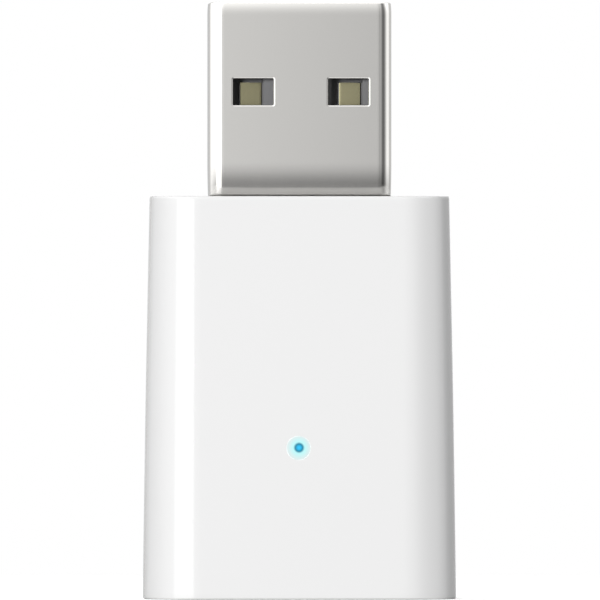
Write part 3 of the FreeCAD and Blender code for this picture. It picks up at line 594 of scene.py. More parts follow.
def lit_disc_group():
    """A lit disc seen through clear plastic: dot, darker ring and halo, by the distance from the Y axis."""
    inputs = (
        ("Vector", "Vector", None),
        ("Dot Radius", "Float", 0.3 * MM),
        ("Glow Radius", "Float", 0.75 * MM),
        ("Dot Colour", "Color", (0.03, 0.45, 0.95, 1)),
        ("Halo Colour", "Color", (0.55, 1.0, 1.0, 1)),
        ("Rim Colour", "Color", (0.8, 0.9, 0.9, 1)),
    )
    tree, wiring, given, result = new_group("lit_disc", inputs, (("Colour", "Color"),))
    distance = wiring.distance(wiring.vector("MULTIPLY", given["Vector"], (1.0, 0.0, 1.0)))
    reach = wiring.math("DIVIDE", distance, given["Dot Radius"])
    shades = (
        (0.0, (1.0, 1.0, 1.0)),
        (0.35, (0.8, 0.85, 0.9)),
        (0.75, (0.4, 0.4, 0.38)),
        (1.0, (0.4, 0.4, 0.36)),
    )
    dot = wiring.mixed(1.0, given["Dot Colour"], wiring.ramp(reach, shades), blend="MULTIPLY")
    outward = wiring.fade(wiring.math("DIVIDE", distance, given["Glow Radius"]), low=0.5, high=1.0)
    halo = wiring.mixed(outward, given["Halo Colour"], given["Rim Colour"])
    edge = wiring.fade(reach, low=0.85, high=1.25)
    wiring.feed(result, "Colour", wiring.mixed(edge, dot, halo))
    return tree


def shared_group(name):
    """The shader group of that name, made when it is first asked for."""
    makers = {"moulded_skin": skin_group, "drawn_metal": brushed_group, "lit_disc": lit_disc_group}
    return bpy.data.node_groups.get(name) or makers[name]()


def new_material(name):
    """A material with no nodes in it yet, and its wiring."""
    material = bpy.data.materials.new(name)
    material.use_nodes = True
    material.node_tree.nodes.clear()
    return material, Wiring(material.node_tree)


def grained(name, group, tone, roughness, change, bump, grain, **shader):
    """A material whose colour, roughness and relief come from a shader group read at Object coordinates."""
    material, wiring = new_material(name)
    values = {"Vector": wiring.place(), "Colour": (*tone, 1), "Colour Change": change, "Roughness": roughness}
    effect = wiring.group(shared_group(group), {**values, **grain})
    relief = wiring.node("ShaderNodeBump", Strength=bump, Distance=RELIEF, Height=effect["Height"])
    normal = relief.outputs["Normal"]
    wiring.surface(Base_Color=effect["Colour"], Roughness=effect["Roughness"], Normal=normal, **shader)
    return material


def plastic(name, tone, roughness, change=0.02, scale=300.0, bump=0.02, **shader):
    """A moulded plastic, resin or ceramic with faint clouds."""
    grain = {"Scale": scale, "Roughness Change": roughness * 0.2}
    return grained(name, "moulded_skin", tone, roughness, change, bump, grain, **shader)


def metal(name, tone, roughness, change=0.05, stretch=(1.0, 1.0, 0.04), bump=0.02):
    """A rolled or plated metal whose lines run along the axis with the small stretch."""
    grain = {"Scale": 5000.0, "Stretch": stretch, "Roughness Change": roughness * 0.5}
    return grained(name, "drawn_metal", tone, roughness, change, bump, grain, Metallic=1.0)


# Housing


def draft_spread(z, housing):
    """How much wider than at mid height the housing is at a height.

    The walls lean by the lower draft below the middle and by the upper draft above it. The change from one to
    the other follows a hyperbola, sqrt(s * s + k * k) - k in place of the absolute value of s.
    """
    low, high = math.tan(housing.lower_draft), math.tan(housing.upper_draft)
    from_middle = LENGTH - 2 * np.asarray(z)
    bent = np.hypot(from_middle, housing.crown) - housing.crown
    return from_middle * (low + high) / 2 + bent * (low - high) / 2


def housing_size(z, housing):
    """Width, depth and corner radius of the housing at a height."""
    spread = draft_spread(z, housing)
    growth = spread - draft_spread(0.0, housing)
    return BASE_WIDTH - housing.trim + growth, BASE_DEPTH + growth, housing.corner + spread / 2


def housing_rows(weights, z, inset, housing, side=1.0):
    """Sections of the housing at heights, drawn in by an inset, of which the narrow sides take a share."""
    width, depth, corner = housing_size(z, housing)
    return sections(weights, z, width - 2 * side * inset, depth - 2 * inset, corner - inset)


def cavity_line(housing, grow, steps=15):
    """The cavity's outline in the parting plane, moved outward by a length."""
    z = np.linspace(housing.end_wall - grow, LENGTH - housing.end_wall + grow, steps)
    right = np.stack((housing_size(z, housing)[0] / 2 - housing.wall + grow, z), axis=1)
    return np.concatenate((right, right[::-1] * (-1, 1)))


def into_wall(z, housing):
    """How far from the parting plane the middle of the front or rear wall lies at a height."""
    return (housing_size(z, housing)[1] - housing.wall) / 2


def board_supports(housing, side, seat):
    """Posts and ribs between the board's seat and the front (side -1) or rear (side 1) wall."""
    post_z = BOARD_LOW.z + housing.post_rise
    rib_z = (REGULATOR_LOW.z + REGULATOR_HIGH.z) / 2
    bodies = []
    for hand in (-1, 1):
        post_x = hand * (BOARD_HIGH.x - housing.post_margin)
        rib_x = hand * (BOARD_HIGH.x - housing.rib_margin)
        post = round_outline(post_x, post_z, housing.post_radius, steps=40)
        rib = centred_box(rib_x, rib_z, housing.rib_thickness, housing.rib_height)
        bodies.append(prism(post, seat, side * into_wall(post_z, housing)))
        bodies.append(prism(rib, seat, side * into_wall(rib_z, housing)))
    return bodies


def board_pins(housing, grow, low, high):
    """The two locating pins, or the sockets for them, from one depth to another."""
    pin_x, pin_z = BOARD_HIGH.x - housing.post_margin, BOARD_LOW.z + housing.post_rise
    radius = housing.pin_radius + grow
    return [prism(round_outline(across, pin_z, radius, steps=32), low, high) for across in (-pin_x, pin_x)]


def half_shell(housing, plug, height_steps=28, edge_steps=6):
    """The front half of the housing as one closed body.

    Its rows run round the base's edge, up the outer wall, over the top, down the plug's slot, along the
    ceiling and down the inner wall. Flat faces close the base, the floor inside and the parting plane.
    """
    weights = half_outline()
    turn = np.linspace(0, math.pi / 2, edge_steps + 1)
    rise, inset = 1 - np.cos(turn), 1 - np.sin(turn)
    base, top = housing.base_edge, housing.end_edge
    wall_z = base + (LENGTH - base - top) * guarded(height_steps)[1:-1]
    z = np.concatenate((base * rise, wall_z, LENGTH - top * rise[::-1]))
    inset = np.concatenate((base * inset, 0 * wall_z, top * inset[::-1]))
    outer = housing_rows(weights, z, inset, housing, housing.edge_side)
    # A bevel along the parting plane, where the two shells meet
    outer[:, 0, 0] += housing.seam
    outer[:, -1, 0] -= housing.seam
    outer[:, 1, 1] = -housing.seam
    outer[:, -2, 1] = -housing.seam
    slot_z = LENGTH - np.array((0, housing.slot_bevel, housing.end_wall))
    room = housing.slot_gap + np.array((housing.slot_bevel, 0, 0))
    slot_width = PLUG_WIDTH - 2 * plug.neck_side + 2 * room
    slot_depth = PLUG_DEPTH - 2 * plug.neck_front + 2 * room
    slot = sections(weights, slot_z, slot_width, slot_depth, plug.corner + room)
    inner_z = np.linspace(LENGTH - housing.end_wall, housing.end_wall, height_steps // 2)
    inner = housing_rows(weights, inner_z, housing.wall, housing)
    work = Patchwork()
    index = work.grid(np.concatenate((outer, slot, inner)))
    work.flat(index[0])
    work.flat(index[-1])
    work.flat(np.concatenate((index[:, 0], index[::-1, -1])))
    return work


def mirrored(work):
    """The same body behind the parting plane."""
    work.points = [points * (1, -1, 1) for points in work.points]
    return work


class REPEATER_OT_housing(bpy.types.Operator):
    """Makes the two glossy shells of the housing with the posts, ribs, pins and lip inside them"""

    bl_idname = "repeater.housing"
    bl_label = "Housing"

    def execute(self, context):
        scene = context.scene
        housing, plug, light = scene.repeater_housing, scene.repeater_plug, scene.repeater_light
        white = plastic("glossy_white_plastic", housing.plastic, housing.roughness, change=0.01, bump=0.01)
        front = self.front(housing, plug, light)
        finish_piece(front, white, ["front_cover"])
        rear = self.rear(housing, plug)
        finish_piece(rear, white, ["rear_cover"])
        return {"FINISHED"}

    def front(self, housing, plug, light):
        """The front shell: a groove in its rim, the light's hole, posts with sockets, ribs and a saddle."""
        shell = half_shell(housing, plug).build("housing_front")
        groove = cavity_line(housing, housing.lip_thickness + housing.clearance)
        hole = round_outline(LIGHT_CENTRE.x, LIGHT_CENTRE.z, light.radius + SNUG, steps=96)
        hole_end = HOUSING_LOW.y + 2 * housing.wall
        carve(shell, [prism(groove, -housing.lip, PAST), prism(hole, HOUSING_LOW.y - PAST, hole_end)])
        seat = BOARD_LOW.y - SEAT_GAP
        saddle_z = LENGTH - housing.saddle_drop
        saddle = centred_box(0.0, saddle_z, housing.saddle_width, housing.saddle_height)
        saddle_end = plug.neck_front - PLUG_DEPTH / 2 - housing.clearance
        bodies = board_supports(housing, -1, seat)
        bodies.append(prism(saddle, -into_wall(saddle_z, housing), saddle_end))
        carve(shell, bodies, operation="UNION")
        carve(shell, board_pins(housing, FIT, seat - housing.pin_length, seat + PAST))
        return shell

    def rear(self, housing, plug):
        """The rear shell: a lip for the front shell's groove, and pinned posts and ribs behind the board."""
        shell = mirrored(half_shell(housing, plug)).build("housing_rear")
        lip = cavity_line(housing, housing.lip_thickness)
        carve(shell, [prism(lip, housing.clearance - housing.lip, LIP_ROOT)], operation="UNION")
        half = (PLUG_WIDTH - housing.skin) / 2 - plug.neck_side + housing.slot_gap
        low, high = LENGTH - LIP_SLOT * housing.end_wall, LENGTH - housing.lip_thickness
        openings = (cavity_line(housing, -housing.skin), box_outline(-half, half, low, high))
        carve(shell, [prism(outline, -PAST, LIP_HOLLOW) for outline in openings])
        seat = BOARD_HIGH.y + SEAT_GAP
        pin_end = BOARD_LOW.y - SEAT_GAP - housing.pin_length
        bodies = board_supports(housing, 1, seat) + board_pins(housing, 0.0, pin_end, seat + PIN_ROOT)
        carve(shell, bodies, operation="UNION")
        return shell


# Status light


class REPEATER_OT_light(bpy.types.Operator):
    """Makes the light guide with its blue dot and pale halo"""

    bl_idname = "repeater.light"
    bl_label = "Status Light"

    def execute(self, context):
        light = context.scene.repeater_light
        lens = self.turned(light).build("light_lens")
        finish_piece(lens, self.glow(light), ["light_pipe"])
        return {"FINISHED"}

    def turned(self, light, steps=72):
        """A profile of (radius, depth) points turned about the light's axis: domed face, stem and flange.

        The dome's depth grows with the square of its radius, in rows that lie closer near the rim.
        """
        face = LIGHT_LOW.y
        wide = (LIGHT_HIGH.x - LIGHT_LOW.x) / 2
        reach = np.append(np.linspace(0, 0.97, 9), (0.99, 1.0))
        dome = np.stack((reach * light.radius, face + light.dome * reach**2), axis=1)
        stem = (
            (light.radius, face + FLANGE_START),
            (wide, face + FLANGE_FULL),
            (wide, face + FLANGE_END),
            (light.radius, face + FLANGE_END),
            (light.radius, LIGHT_HIGH.y),
            (0.0, LIGHT_HIGH.y),
        )
        profile = np.concatenate((dome, stem))
        turn = full_turn(steps)
        radius, depth = profile[:, :1], profile[:, 1:]
        x = LIGHT_CENTRE.x + radius * np.cos(turn)
        z = LIGHT_CENTRE.z + radius * np.sin(turn)
        work = Patchwork()
        work.grid(np.stack((x, np.broadcast_to(depth, x.shape), z), axis=-1), ring=True)
        return work

    def glow(self, light):
        """Blue inside the dot's radius, pale round it and white at the rim, by the distance from the dot."""
        material, wiring = new_material("lit_light_guide")
        middle = (-LIGHT_CENTRE.x - light.aside, 0.0, -LIGHT_CENTRE.z - light.above)
        centred = wiring.node("ShaderNodeMapping", Vector=wiring.place(), Location=middle)
        values = {
            "Vector": centred.outputs["Vector"],
            "Dot Radius": light.dot,
            "Glow Radius": light.glow,
            "Dot Colour": (*light.blue, 1),
            "Halo Colour": (*light.halo, 1),
            "Rim Colour": (*light.rim, 1),
        }
        wiring.surface(
            Base_Color=(0.02, 0.03, 0.03, 1),
            Roughness=0.12,
            Specular_IOR_Level=0.25,
            Emission_Color=wiring.group(shared_group("lit_disc"), values)["Colour"],
            Emission_Strength=1.0,
        )
        return material


# Plug


def shell_path(plug, inward, curl_rows=6, neck_rows=17, barrel_steps=10, lead_rows=13):
    """The shell's width, depth and corner along its height, moved inward by the sheet where asked.

    The neck is drawn in by a parabola towards the root, a small curl ends it, and the mouth is drawn in by
    another parabola towards its edge.
    """
    neck_top, lead_low = LENGTH + plug.neck_height, MOUTH - plug.lead_height
    root_low = LENGTH - CURL_SUNK
    root_top = root_low + plug.root_height
    tail = (SHELL_LOW.z, LENGTH - TAIL_SUNK)
    curl = root_low + plug.root_height * np.linspace(0, 1, curl_rows, endpoint=False)
    neck = root_top + (neck_top - root_top) * np.linspace(0, 1, neck_rows)
    barrel = neck_top + (lead_low - neck_top) * guarded(barrel_steps)[1:-1]
    lead = lead_low + plug.lead_height * np.linspace(0, 1, lead_rows)
    z = np.concatenate((tail, curl, neck, barrel, lead))
    drawn = np.clip((neck_top - z) / plug.neck_height, 0, 1) ** 2
    curled = np.clip((z - lead_low) / plug.lead_height, 0, 1) ** 2
    root = plug.root_inset * np.clip((root_top - z) / plug.root_height, 0, 1) ** 2
    width = PLUG_WIDTH - plug.trim - 2 * (plug.neck_side * drawn + plug.lead_side * curled + inward)
    depth = PLUG_DEPTH - 2 * (plug.neck_front * drawn + plug.lead_inset * curled + root + inward)
    return z, width, depth, np.full_like(z, plug.corner - inward)


def shell_sheet(plug, rim_steps=5):
    """The folded shell as one closed body: up its outside, round the rolled rim and down its inside.

    The ring of the sheet is open at the rear, where its two edges meet, and a flat face closes each edge. The
    two broad faces bow out by a parabola across.
    """
    weights = full_outline(arc_steps=20, side_steps=6, front_steps=16)
    # The ring starts and ends in the middle of the rear, where the sheet's edges meet
    rear = int(np.argmin(np.abs(weights[:, 0]) - weights[:, 1]))
    weights = np.concatenate((weights[rear:], weights[: rear + 1]))
    z, width, depth, corner = shell_path(plug, 0.0)
    inner_z, inner_width, inner_depth, inner_corner = shell_path(plug, plug.sheet)
    turn = np.linspace(0, math.pi, rim_steps + 2)[1:-1]
    half = plug.sheet / 2
    rim_inset = half * (1 - np.cos(turn))
    rim_z = MOUTH - half + half * np.sin(turn)
    z[-1] = MOUTH - half
    inner_z[-1] = MOUTH - half
    rim_width, rim_depth = width[-1] - 2 * rim_inset, depth[-1] - 2 * rim_inset
    outer = sections(weights, z, width, depth, corner)
    rim = sections(weights, rim_z, rim_width, rim_depth, corner[-1] - rim_inset)
    inner = sections(weights, inner_z[::-1], inner_width[::-1], inner_depth[::-1], inner_corner[::-1])
    rows = np.concatenate((outer, rim, inner))
    rows[..., 1] += plug.bow * (1 - weights[:, 0] ** 2) * np.sign(weights[:, 1])
    rows[:, 0, 0] = -plug.seam / 2
    rows[:, -1, 0] = plug.seam / 2
    work = Patchwork()
    index = work.grid(rows, loop=True)
    work.flat(index[:-1, 0])
    work.flat(index[:-1, -1])
    return work


def window_tool(plug, across, side, roll_steps=4):
    """A body that cuts one window: straight through the sheet, and flared outside by a quarter round."""
    up = MOUTH - plug.window_drop
    outline = soft_box_outline(across, up, plug.window_width, plug.window_height, plug.window_corner)
    rim = plug.window_rim
    turn = np.linspace(0, math.pi / 2, roll_steps + 1)
    roll = np.stack((EDGE_STEP + rim * (1 - np.cos(turn)), rim * (1 - np.sin(turn))), axis=1)
    path = np.concatenate(([(-PAST, rim)], roll, [(2 * plug.sheet, 0.0)]))
    path[:, 0] = side * (PLUG_DEPTH / 2 - path[:, 0])
    return column(outline, path, axis=1)


class REPEATER_OT_plug(bpy.types.Operator):
    """Makes the folded, plated shell of the plug"""

    bl_idname = "repeater.plug"
    bl_label = "Plug Shell"

    def execute(self, context):
        plug = context.scene.repeater_plug
        shell = shell_sheet(plug).build("plug_shell")
        places = [(across, side) for across in (-plug.window_x, plug.window_x) for side in (-1, 1)]
        carve(shell, [window_tool(plug, across, side) for across, side in places])
        leg_z, half_width = LENGTH - plug.leg_drop, plug.leg_width / 2
        leg = box_outline(LEG_FRONT, SHELL_HIGH.y, leg_z - half_width, leg_z + half_width)
        root_half = PLUG_WIDTH / 2 - plug.neck_side
        sides = (root_half - plug.sheet, -root_half)
        legs = [prism(leg, inner + SNUG, inner + plug.sheet - SNUG, axis=0) for inner in sides]
        carve(shell, legs, operation="UNION")
        plating = metal("bright_nickel_plating", plug.plating, plug.roughness, change=0.02, bump=0.015)
        finish_piece(shell, plating, ["usb_shell"])
        return {"FINISHED"}


class REPEATER_OT_insulator(bpy.types.Operator):
    """Makes the grey moulded block and tongue in the plug"""

    bl_idname = "repeater.insulator"
    bl_label = "Insulator"

    def execute(self, context):
        plug = context.scene.repeater_plug
        width = BLOCK_HIGH.x - BLOCK_LOW.x
        depth = PLUG_DEPTH - 2 * (plug.neck_front + plug.sheet + FIT)
        outline = soft_box_outline(0.0, 0.0, width, depth, plug.corner - plug.sheet, arc_steps=8)
        block_top, tip = LENGTH + plug.block_rise, BLOCK_HIGH.z
        body = prism(outline, BLOCK_LOW.z, block_top, axis=2).build("plug_insulator")
        rear = BLOCK_HIGH.y
        front = rear - plug.tongue_thickness
        half = width / 2 - TONGUE_INSET
        bevel = plug.tongue_chamfer
        path = ((block_top - BLOCK_OVERLAP, 0), (tip - bevel, 0), (tip, -bevel))
        carve(body, [column(box_outline(-half, half, front, rear), path)], operation="UNION")
        for name in CONTACTS:
            carve(body, self.channels(plug, name, front, block_top))
        grey = plastic("grey_moulded_plastic", (0.18, 0.18, 0.185), 0.35, change=0.06, bump=0.03)
        finish_piece(body, grey, ["usb_insulator"])
        return {"FINISHED"}

    def channels(self, plug, name, front, block_top):
        """What is cut for a contact: its channel, and for an outer one a deep groove and a pocket as well."""
        low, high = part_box(name)
        left, right = low.x + plug.contact_shift, high.x + plug.contact_shift
        near, end = front - plug.channel_gap, high.z + plug.tip_gap
        seat_depth = front + plug.contact_thickness + 2 * FIT
        seat = box_outline(left - plug.channel_gap, right + plug.channel_gap, near, seat_depth)
        tools = [prism(seat, BLOCK_LOW.z - PAST, end, axis=2)]
        if name in OUTER_CONTACTS:
            deep, far_left = front + plug.groove_depth, left - plug.groove_width
            groove = box_outline(far_left, left - FIT, near, deep)
            pocket = box_outline(far_left, right + plug.channel_gap, near, deep)
            tools.append(prism(groove, block_top + BLOCK_OVERLAP, end, axis=2))
            tools.append(prism(pocket, high.z + FIT, end + FIT, axis=2))
        return tools


class REPEATER_OT_contacts(bpy.types.Operator):
    """Makes the four bent contact strips with their bevelled edges"""

    bl_idname = "repeater.contacts"
    bl_label = "Contacts"

    def execute(self, context):
        plug = context.scene.repeater_plug
        gold = metal("gold_plated_contact", plug.gold, 0.22, change=0.12, bump=0.03)
        for name in CONTACTS:
            strip = self.strip(name, plug).build(name.replace("usb_contact", "contact_strip"))
            finish_piece(strip, gold, [name])
        return {"FINISHED"}

    def strip(self, name, plug, bend_steps=8):
        """A flat strip's section carried along a path in the YZ plane: blade, two quarter bends and foot.

        At each point of the path the section stands square to it. Round a bend the path is an arc, and each
        of the section's points keeps its own distance from the arc's centre. The first section is drawn in as
        a bevelled tip.
        """
        low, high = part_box(name)
        thick, tip = plug.contact_thickness, plug.outer_bevel
        middle, half = (low.x + high.x) / 2, (high.x - low.x) / 2
        bevels = ((plug.outer_bevel, plug.outer_bevel), (plug.inner_bevel, plug.inner_slope))
        (left_bevel, left_slope), (right_bevel, right_slope) = bevels if middle < 0 else bevels[::-1]
        top, knee = high.z + plug.tip_rise, low.z + KNEE_RISE - thick / 2
        radius = BEND_RADIUS + thick / 2
        blade_y, foot_y = low.y + thick / 2, high.y - thick / 2
        turn = np.linspace(0, math.pi / 2, bend_steps + 1)
        over, along = radius * (1 - np.cos(turn)), radius * (1 - np.sin(turn))
        first = np.stack((blade_y + over, knee + along), axis=1)
        second = np.stack((foot_y - along, knee - over), axis=1)
        centre = np.concatenate(([[blade_y, top], [blade_y, top - tip]], first, second, [[foot_y, low.z]]))
        heading = np.concatenate(([0.0, 0.0], turn, turn[::-1], [0.0]))
        front = np.stack((-np.cos(heading), -np.sin(heading)), axis=1)
        inset = np.zeros(len(centre))
        inset[0] = tip
        across = np.array((-half, -half, -half + left_bevel, half - right_bevel, half, half))
        back, face = -thick / 2, thick / 2
        proud = np.array((back, face - left_slope, face, face, face - right_slope, back))
        x = middle + plug.contact_shift + across[None] + 0 * inset[:, None]
        lift = proud[None] - inset[:, None] * (proud == face)[None]
        y = centre[:, :1] + front[:, :1] * lift
        z = centre[:, 1:] + front[:, 1:] * lift
        work = Patchwork()
        work.tube(np.stack((x, y, z), axis=-1))
        return work


# Board


class REPEATER_OT_board(bpy.types.Operator):
    """Gives the circuit board and all that stands on it their finishes"""

    bl_idname = "repeater.board"
    bl_label = "Board Finishes"

    def execute(self, context):
        mask = plastic("green_solder_mask", (0.02, 0.17, 0.06), 0.25, change=0.25, scale=900.0, bump=0.2)
        package = plastic("chip_package", (0.02, 0.02, 0.022), 0.5, change=0.3, scale=2500.0, bump=0.2)
        ceramic = plastic("fired_ceramic", (0.42, 0.3, 0.2), 0.35, change=0.2, scale=1800.0, bump=0.12)
        resin = plastic("clear_lamp_resin", (0.75, 0.85, 0.95), 0.1, change=0.03, Coat_Weight=0.5)
        across, even = (0.04, 1.0, 1.0), (1.0, 1.0, 1.0)
        copper = metal("masked_copper", (0.45, 0.3, 0.12), 0.35, change=0.15, stretch=across)
        can = metal("tinned_can", (0.68, 0.68, 0.66), 0.24, change=0.08, stretch=across, bump=0.06)
        lid = metal("crystal_lid", (0.72, 0.68, 0.55), 0.2, change=0.06, stretch=across)
        solder = metal("wetted_solder", (0.75, 0.75, 0.74), 0.18, change=0.1, stretch=even, bump=0.15)
        finishes = {
            "circuit_board": mask,
            "antenna_trace": copper,
            "shield_can": can,
            "crystal": lid,
            "status_led": resin,
            **dict.fromkeys(CHIP_PACKAGES, package),
            **dict.fromkeys(CHIP_BARS, ceramic),
            **dict.fromkeys(SOLDER_JOINTS, solder),
        }
        for name, material in finishes.items():
            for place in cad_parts[name].material_slots:
                place.material = material
        return {"FINISHED"}


# Studio

LEVEL_TOP = 4.0  # brightness that a colour of 1 stands for in the studio's ramps

# The studio's brightness by direction, as stops of degrees and level. ROUND goes round to the left from the
# front, and RISE goes up from the horizon. A direction's level is the product of the two, and the room and
# the soft box are added.
ROOM_ROUND = (
    (-180, 0.9), (-150, 0.75), (-138, 0.85), (-125, 0.72), (-112, 0.8), (-102, 1.4), (-80, 1.5), (-70, 1.0),
    (-62, 0.6), (-54, 0.3), (-47, 0.19), (-36, 0.19), (-28, 0.42), (-20, 0.62), (-9, 0.5), (-2.6, 0.85),
    (2, 1.08), (11, 1.15), (57, 1.75), (110, 1.75), (124, 1.5), (136, 1.1), (150, 0.75), (180, 0.6),
)
ROOM_RISE = (
    (-90, 0.6), (-70, 0.8), (-60, 2.2), (-50, 2.2), (-35, 1.2), (-25, 0.8), (-19, 0.42), (-13, 0.38),
    (-10.6, 0.41), (-8.2, 0.58), (-6, 0.72), (-4.5, 0.81), (-3, 0.88), (-1, 0.95), (0, 1.0), (10, 1.06),
    (22, 1.25), (40, 1.75), (60, 2.2), (90, 2.2),
)
BOX_ROUND = ((-180, 0), (11, 0), (13, 2.4), (55, 1.9), (57, 0), (180, 0))
BOX_RISE = ((-90, 0), (-31, 0), (-22, 0.9), (-10, 0.8), (0, 1), (12, 1), (26, 0), (90, 0))

# The even light on matt surfaces, by height alone
EVEN_RISE = ((-90, 0.1), (-50, 0.2), (-38, 0.28), (30, 0.28), (50, 1.0), (90, 1.3))


class REPEATER_OT_studio(bpy.types.Operator):
    """Sets up the camera, the lamps, the reflections and the pale floor"""

    bl_idname = "repeater.studio"
    bl_label = "Studio"

    def execute(self, context):
        studio = context.scene.repeater_studio
        self.camera(context, studio)
        self.lamps(context, studio)
        self.floor(studio)
        self.world(context, studio)
        context.scene.view_settings.view_transform = "Standard"
        return {"FINISHED"}

    def camera(self, context, studio):
        """Straight on, level with the frame's middle, a little to the left, at the photograph's scale."""
        data = bpy.data.cameras.new("camera")
        data.sensor_width = CAMERA_SENSOR
        data.lens = CAMERA_SENSOR * studio.distance / (PHOTO_PIXELS / PHOTO_SCALE)
        eye = bpy.data.objects.new("camera", data)
        context.scene.collection.objects.link(eye)
        right = Vector((math.cos(studio.turn), -math.sin(studio.turn), 0))
        ahead = Vector((math.sin(studio.turn), math.cos(studio.turn), 0))
        height = (BASE_ROW - PHOTO_PIXELS / 2) / PHOTO_SCALE
        aside = (PHOTO_PIXELS / 2 - AXIS_COLUMN) / PHOTO_SCALE
        eye.location = aside * right - studio.distance * ahead + Vector((0, 0, height))
        eye.rotation_euler = (math.pi / 2, 0, -studio.turn)
        context.scene.camera = eye

    def lamps(self, context, studio):
        """Soft lamps in front, high on the left and behind on both sides, kept out of the reflections."""
        side_turn, side_rise = math.radians(88), math.radians(45)
        rear_turn, rear_rise = math.radians(150), math.radians(20)
        key_size, side_size, rear_size = 80 * MM, 400 * MM, 200 * MM
        lamps = (
            ("key_lamp", studio.key_turn, studio.key_rise, studio.key_power, key_size),
            ("side_lamp", side_turn, side_rise, studio.side_power, side_size),
            ("left_rear_lamp", rear_turn, rear_rise, studio.rear_power, rear_size),
            ("right_rear_lamp", -rear_turn, rear_rise, studio.rear_power, rear_size),
        )
        for name, turn, rise, energy, size in lamps:
            data = bpy.data.lights.new(name, "AREA")
            data.shape = "DISK"
            data.size = size
            data.energy = energy
            lamp = bpy.data.objects.new(name, data)
            context.scene.collection.objects.link(lamp)
            flat = math.cos(rise)
            toward = Vector((-math.sin(turn) * flat, -math.cos(turn) * flat, math.sin(rise)))
            lamp.location = studio.lamp_distance * toward + Vector((0, 0, LENGTH / 2))
            lamp.rotation_euler = (-toward).to_track_quat("-Z", "Y").to_euler()
            lamp.visible_glossy = False
            lamp.visible_camera = False

    def floor(self, studio, steps=96, rings=9, drop=0.005 * MM):
        """A pale disc just under the base that keeps the object's shadow and fades into the white beyond."""
        turn = full_turn(steps)
        radius = np.linspace(0, studio.floor_radius, rings)[:, None]
        x, y = radius * np.cos(turn), radius * np.sin(turn)
        work = Patchwork()
        work.grid(np.stack((x, y, 0 * x - drop), axis=-1), ring=True)
        ground = work.build("floor")
        material, wiring = new_material("pale_floor")
        low, high = studio.floor_radius * studio.floor_middle, studio.floor_radius
        fade = wiring.fade(wiring.distance(wiring.place()), low, high, "SMOOTHSTEP")
        wiring.surface(
            Base_Color=(studio.floor, studio.floor, studio.floor, 1),
            Roughness=0.9,
            Specular_IOR_Level=0.0,
            Emission_Color=(1, 1, 1, 1),
            Emission_Strength=0.45,
            Alpha=wiring.math("SUBTRACT", 1.0, fade),
        )
        ground.data.materials.append(material)
        ground.visible_glossy = False
        ground.visible_diffuse = False

    def world(self, context, studio):
        """White to the camera, an even light to matt surfaces, and a room with a soft box to glossy ones.

        The room and the box are set by the direction: how far round it is from the front, and how high.
        """
        world = bpy.data.worlds.new("studio")
        context.scene.world = world
        world.use_nodes = True
        world.node_tree.nodes.clear()
        wiring = Wiring(world.node_tree)
        direction = wiring.node("ShaderNodeTexCoord").outputs["Generated"]
        way = wiring.node("ShaderNodeSeparateXYZ", direction).outputs
        left, front = (wiring.math("MULTIPLY", way[axis], -1.0) for axis in "XY")
        turn, rise = wiring.math("ARCTAN2", left, front), wiring.math("ARCSINE", way["Z"])
        room, box = (
            wiring.vector("MULTIPLY", self.levels(wiring, turn, across), self.levels(wiring, rise, up))
            for across, up in ((ROOM_ROUND, ROOM_RISE), (BOX_ROUND, BOX_RISE))
        )
        mirror = self.background(wiring, wiring.vector("ADD", room, box), LEVEL_TOP**2)
        even = self.background(wiring, self.levels(wiring, rise, EVEN_RISE), LEVEL_TOP * studio.ambient)
        white = self.background(wiring, (1, 1, 1, 1), 1.0)
        path = wiring.node("ShaderNodeLightPath").outputs
        unseen = wiring.node("ShaderNodeMixShader", path["Is Glossy Ray"], even, mirror).outputs[0]
        seen = wiring.math("MAXIMUM", path["Is Camera Ray"], path["Is Transmission Ray"])
        whole = wiring.node("ShaderNodeMixShader", seen, unseen, white).outputs[0]
        wiring.node("ShaderNodeOutputWorld", Surface=whole)

    def background(self, wiring, tone, strength):
        """Light from all round, of one colour or of a pattern."""
        return wiring.node("ShaderNodeBackground", Color=tone, Strength=strength).outputs[0]

    def levels(self, wiring, angle, stops):
        """Brightness by an angle in radians, through (degrees, level) stops over the whole of its range."""
        reach = stops[-1][0]
        place = wiring.math("ADD", wiring.math("DIVIDE", angle, 2 * math.radians(reach)), 0.5)
        greys = [((at + reach) / (2 * reach), [level / LEVEL_TOP] * 3) for at, level in stops]
        return wiring.ramp(place, greys)


class REPEATER_PT_panel(bpy.types.Panel):
    """Lists the steps that build the object"""

    bl_label = "Radio Repeater"
    bl_idname = "REPEATER_PT_panel"
    bl_space_type = "VIEW_3D"
    bl_region_type = "UI"
    bl_category = "Repeater"

    def draw(self, context):
        for operator in OPERATORS:
            self.layout.operator(operator.bl_idname)
        for name in SETTINGS:
            group = getattr(context.scene, name)
            for key in group.__annotations__:
                self.layout.prop(group, key)


SETTINGS = {
    "repeater_housing": HousingSettings,
    "repeater_plug": PlugSettings,
    "repeater_light": LightSettings,
    "repeater_studio": StudioSettings,
}
OPERATORS = (
    REPEATER_OT_studio,
    REPEATER_OT_housing,
    REPEATER_OT_light,
    REPEATER_OT_plug,
    REPEATER_OT_insulator,
    REPEATER_OT_contacts,
    REPEATER_OT_board,
)


def register():
    for kind in (*SETTINGS.values(), *OPERATORS, REPEATER_PT_panel):
        bpy.utils.register_class(kind)
    for name, kind in SETTINGS.items():
        setattr(bpy.types.Scene, name, PointerProperty(type=kind))


def unregister():
    for name in SETTINGS:
        delattr(bpy.types.Scene, name)
    for kind in reversed((*SETTINGS.values(), *OPERATORS, REPEATER_PT_panel)):
        bpy.utils.unregister_class(kind)


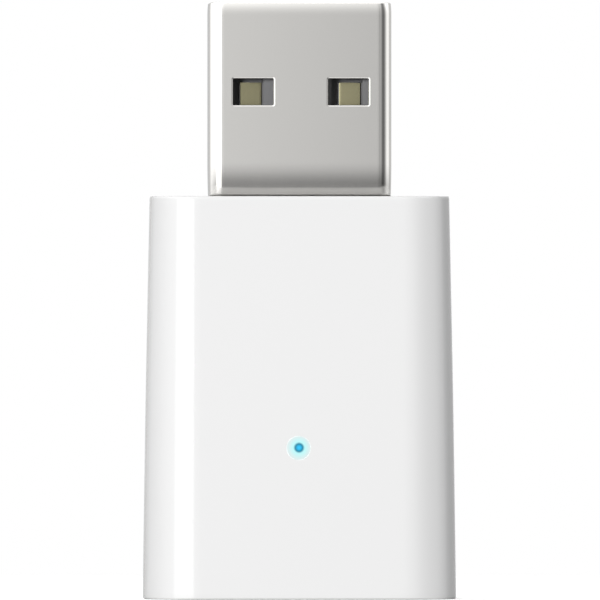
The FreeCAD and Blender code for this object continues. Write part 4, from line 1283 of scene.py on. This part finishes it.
def main():
    register()
    bpy.ops.repeater.studio()
    bpy.ops.repeater.housing()
    bpy.ops.repeater.light()
    bpy.ops.repeater.plug()
    bpy.ops.repeater.insulator()
    bpy.ops.repeater.contacts()
    bpy.ops.repeater.board()


if __name__ == "__main__":
    main()
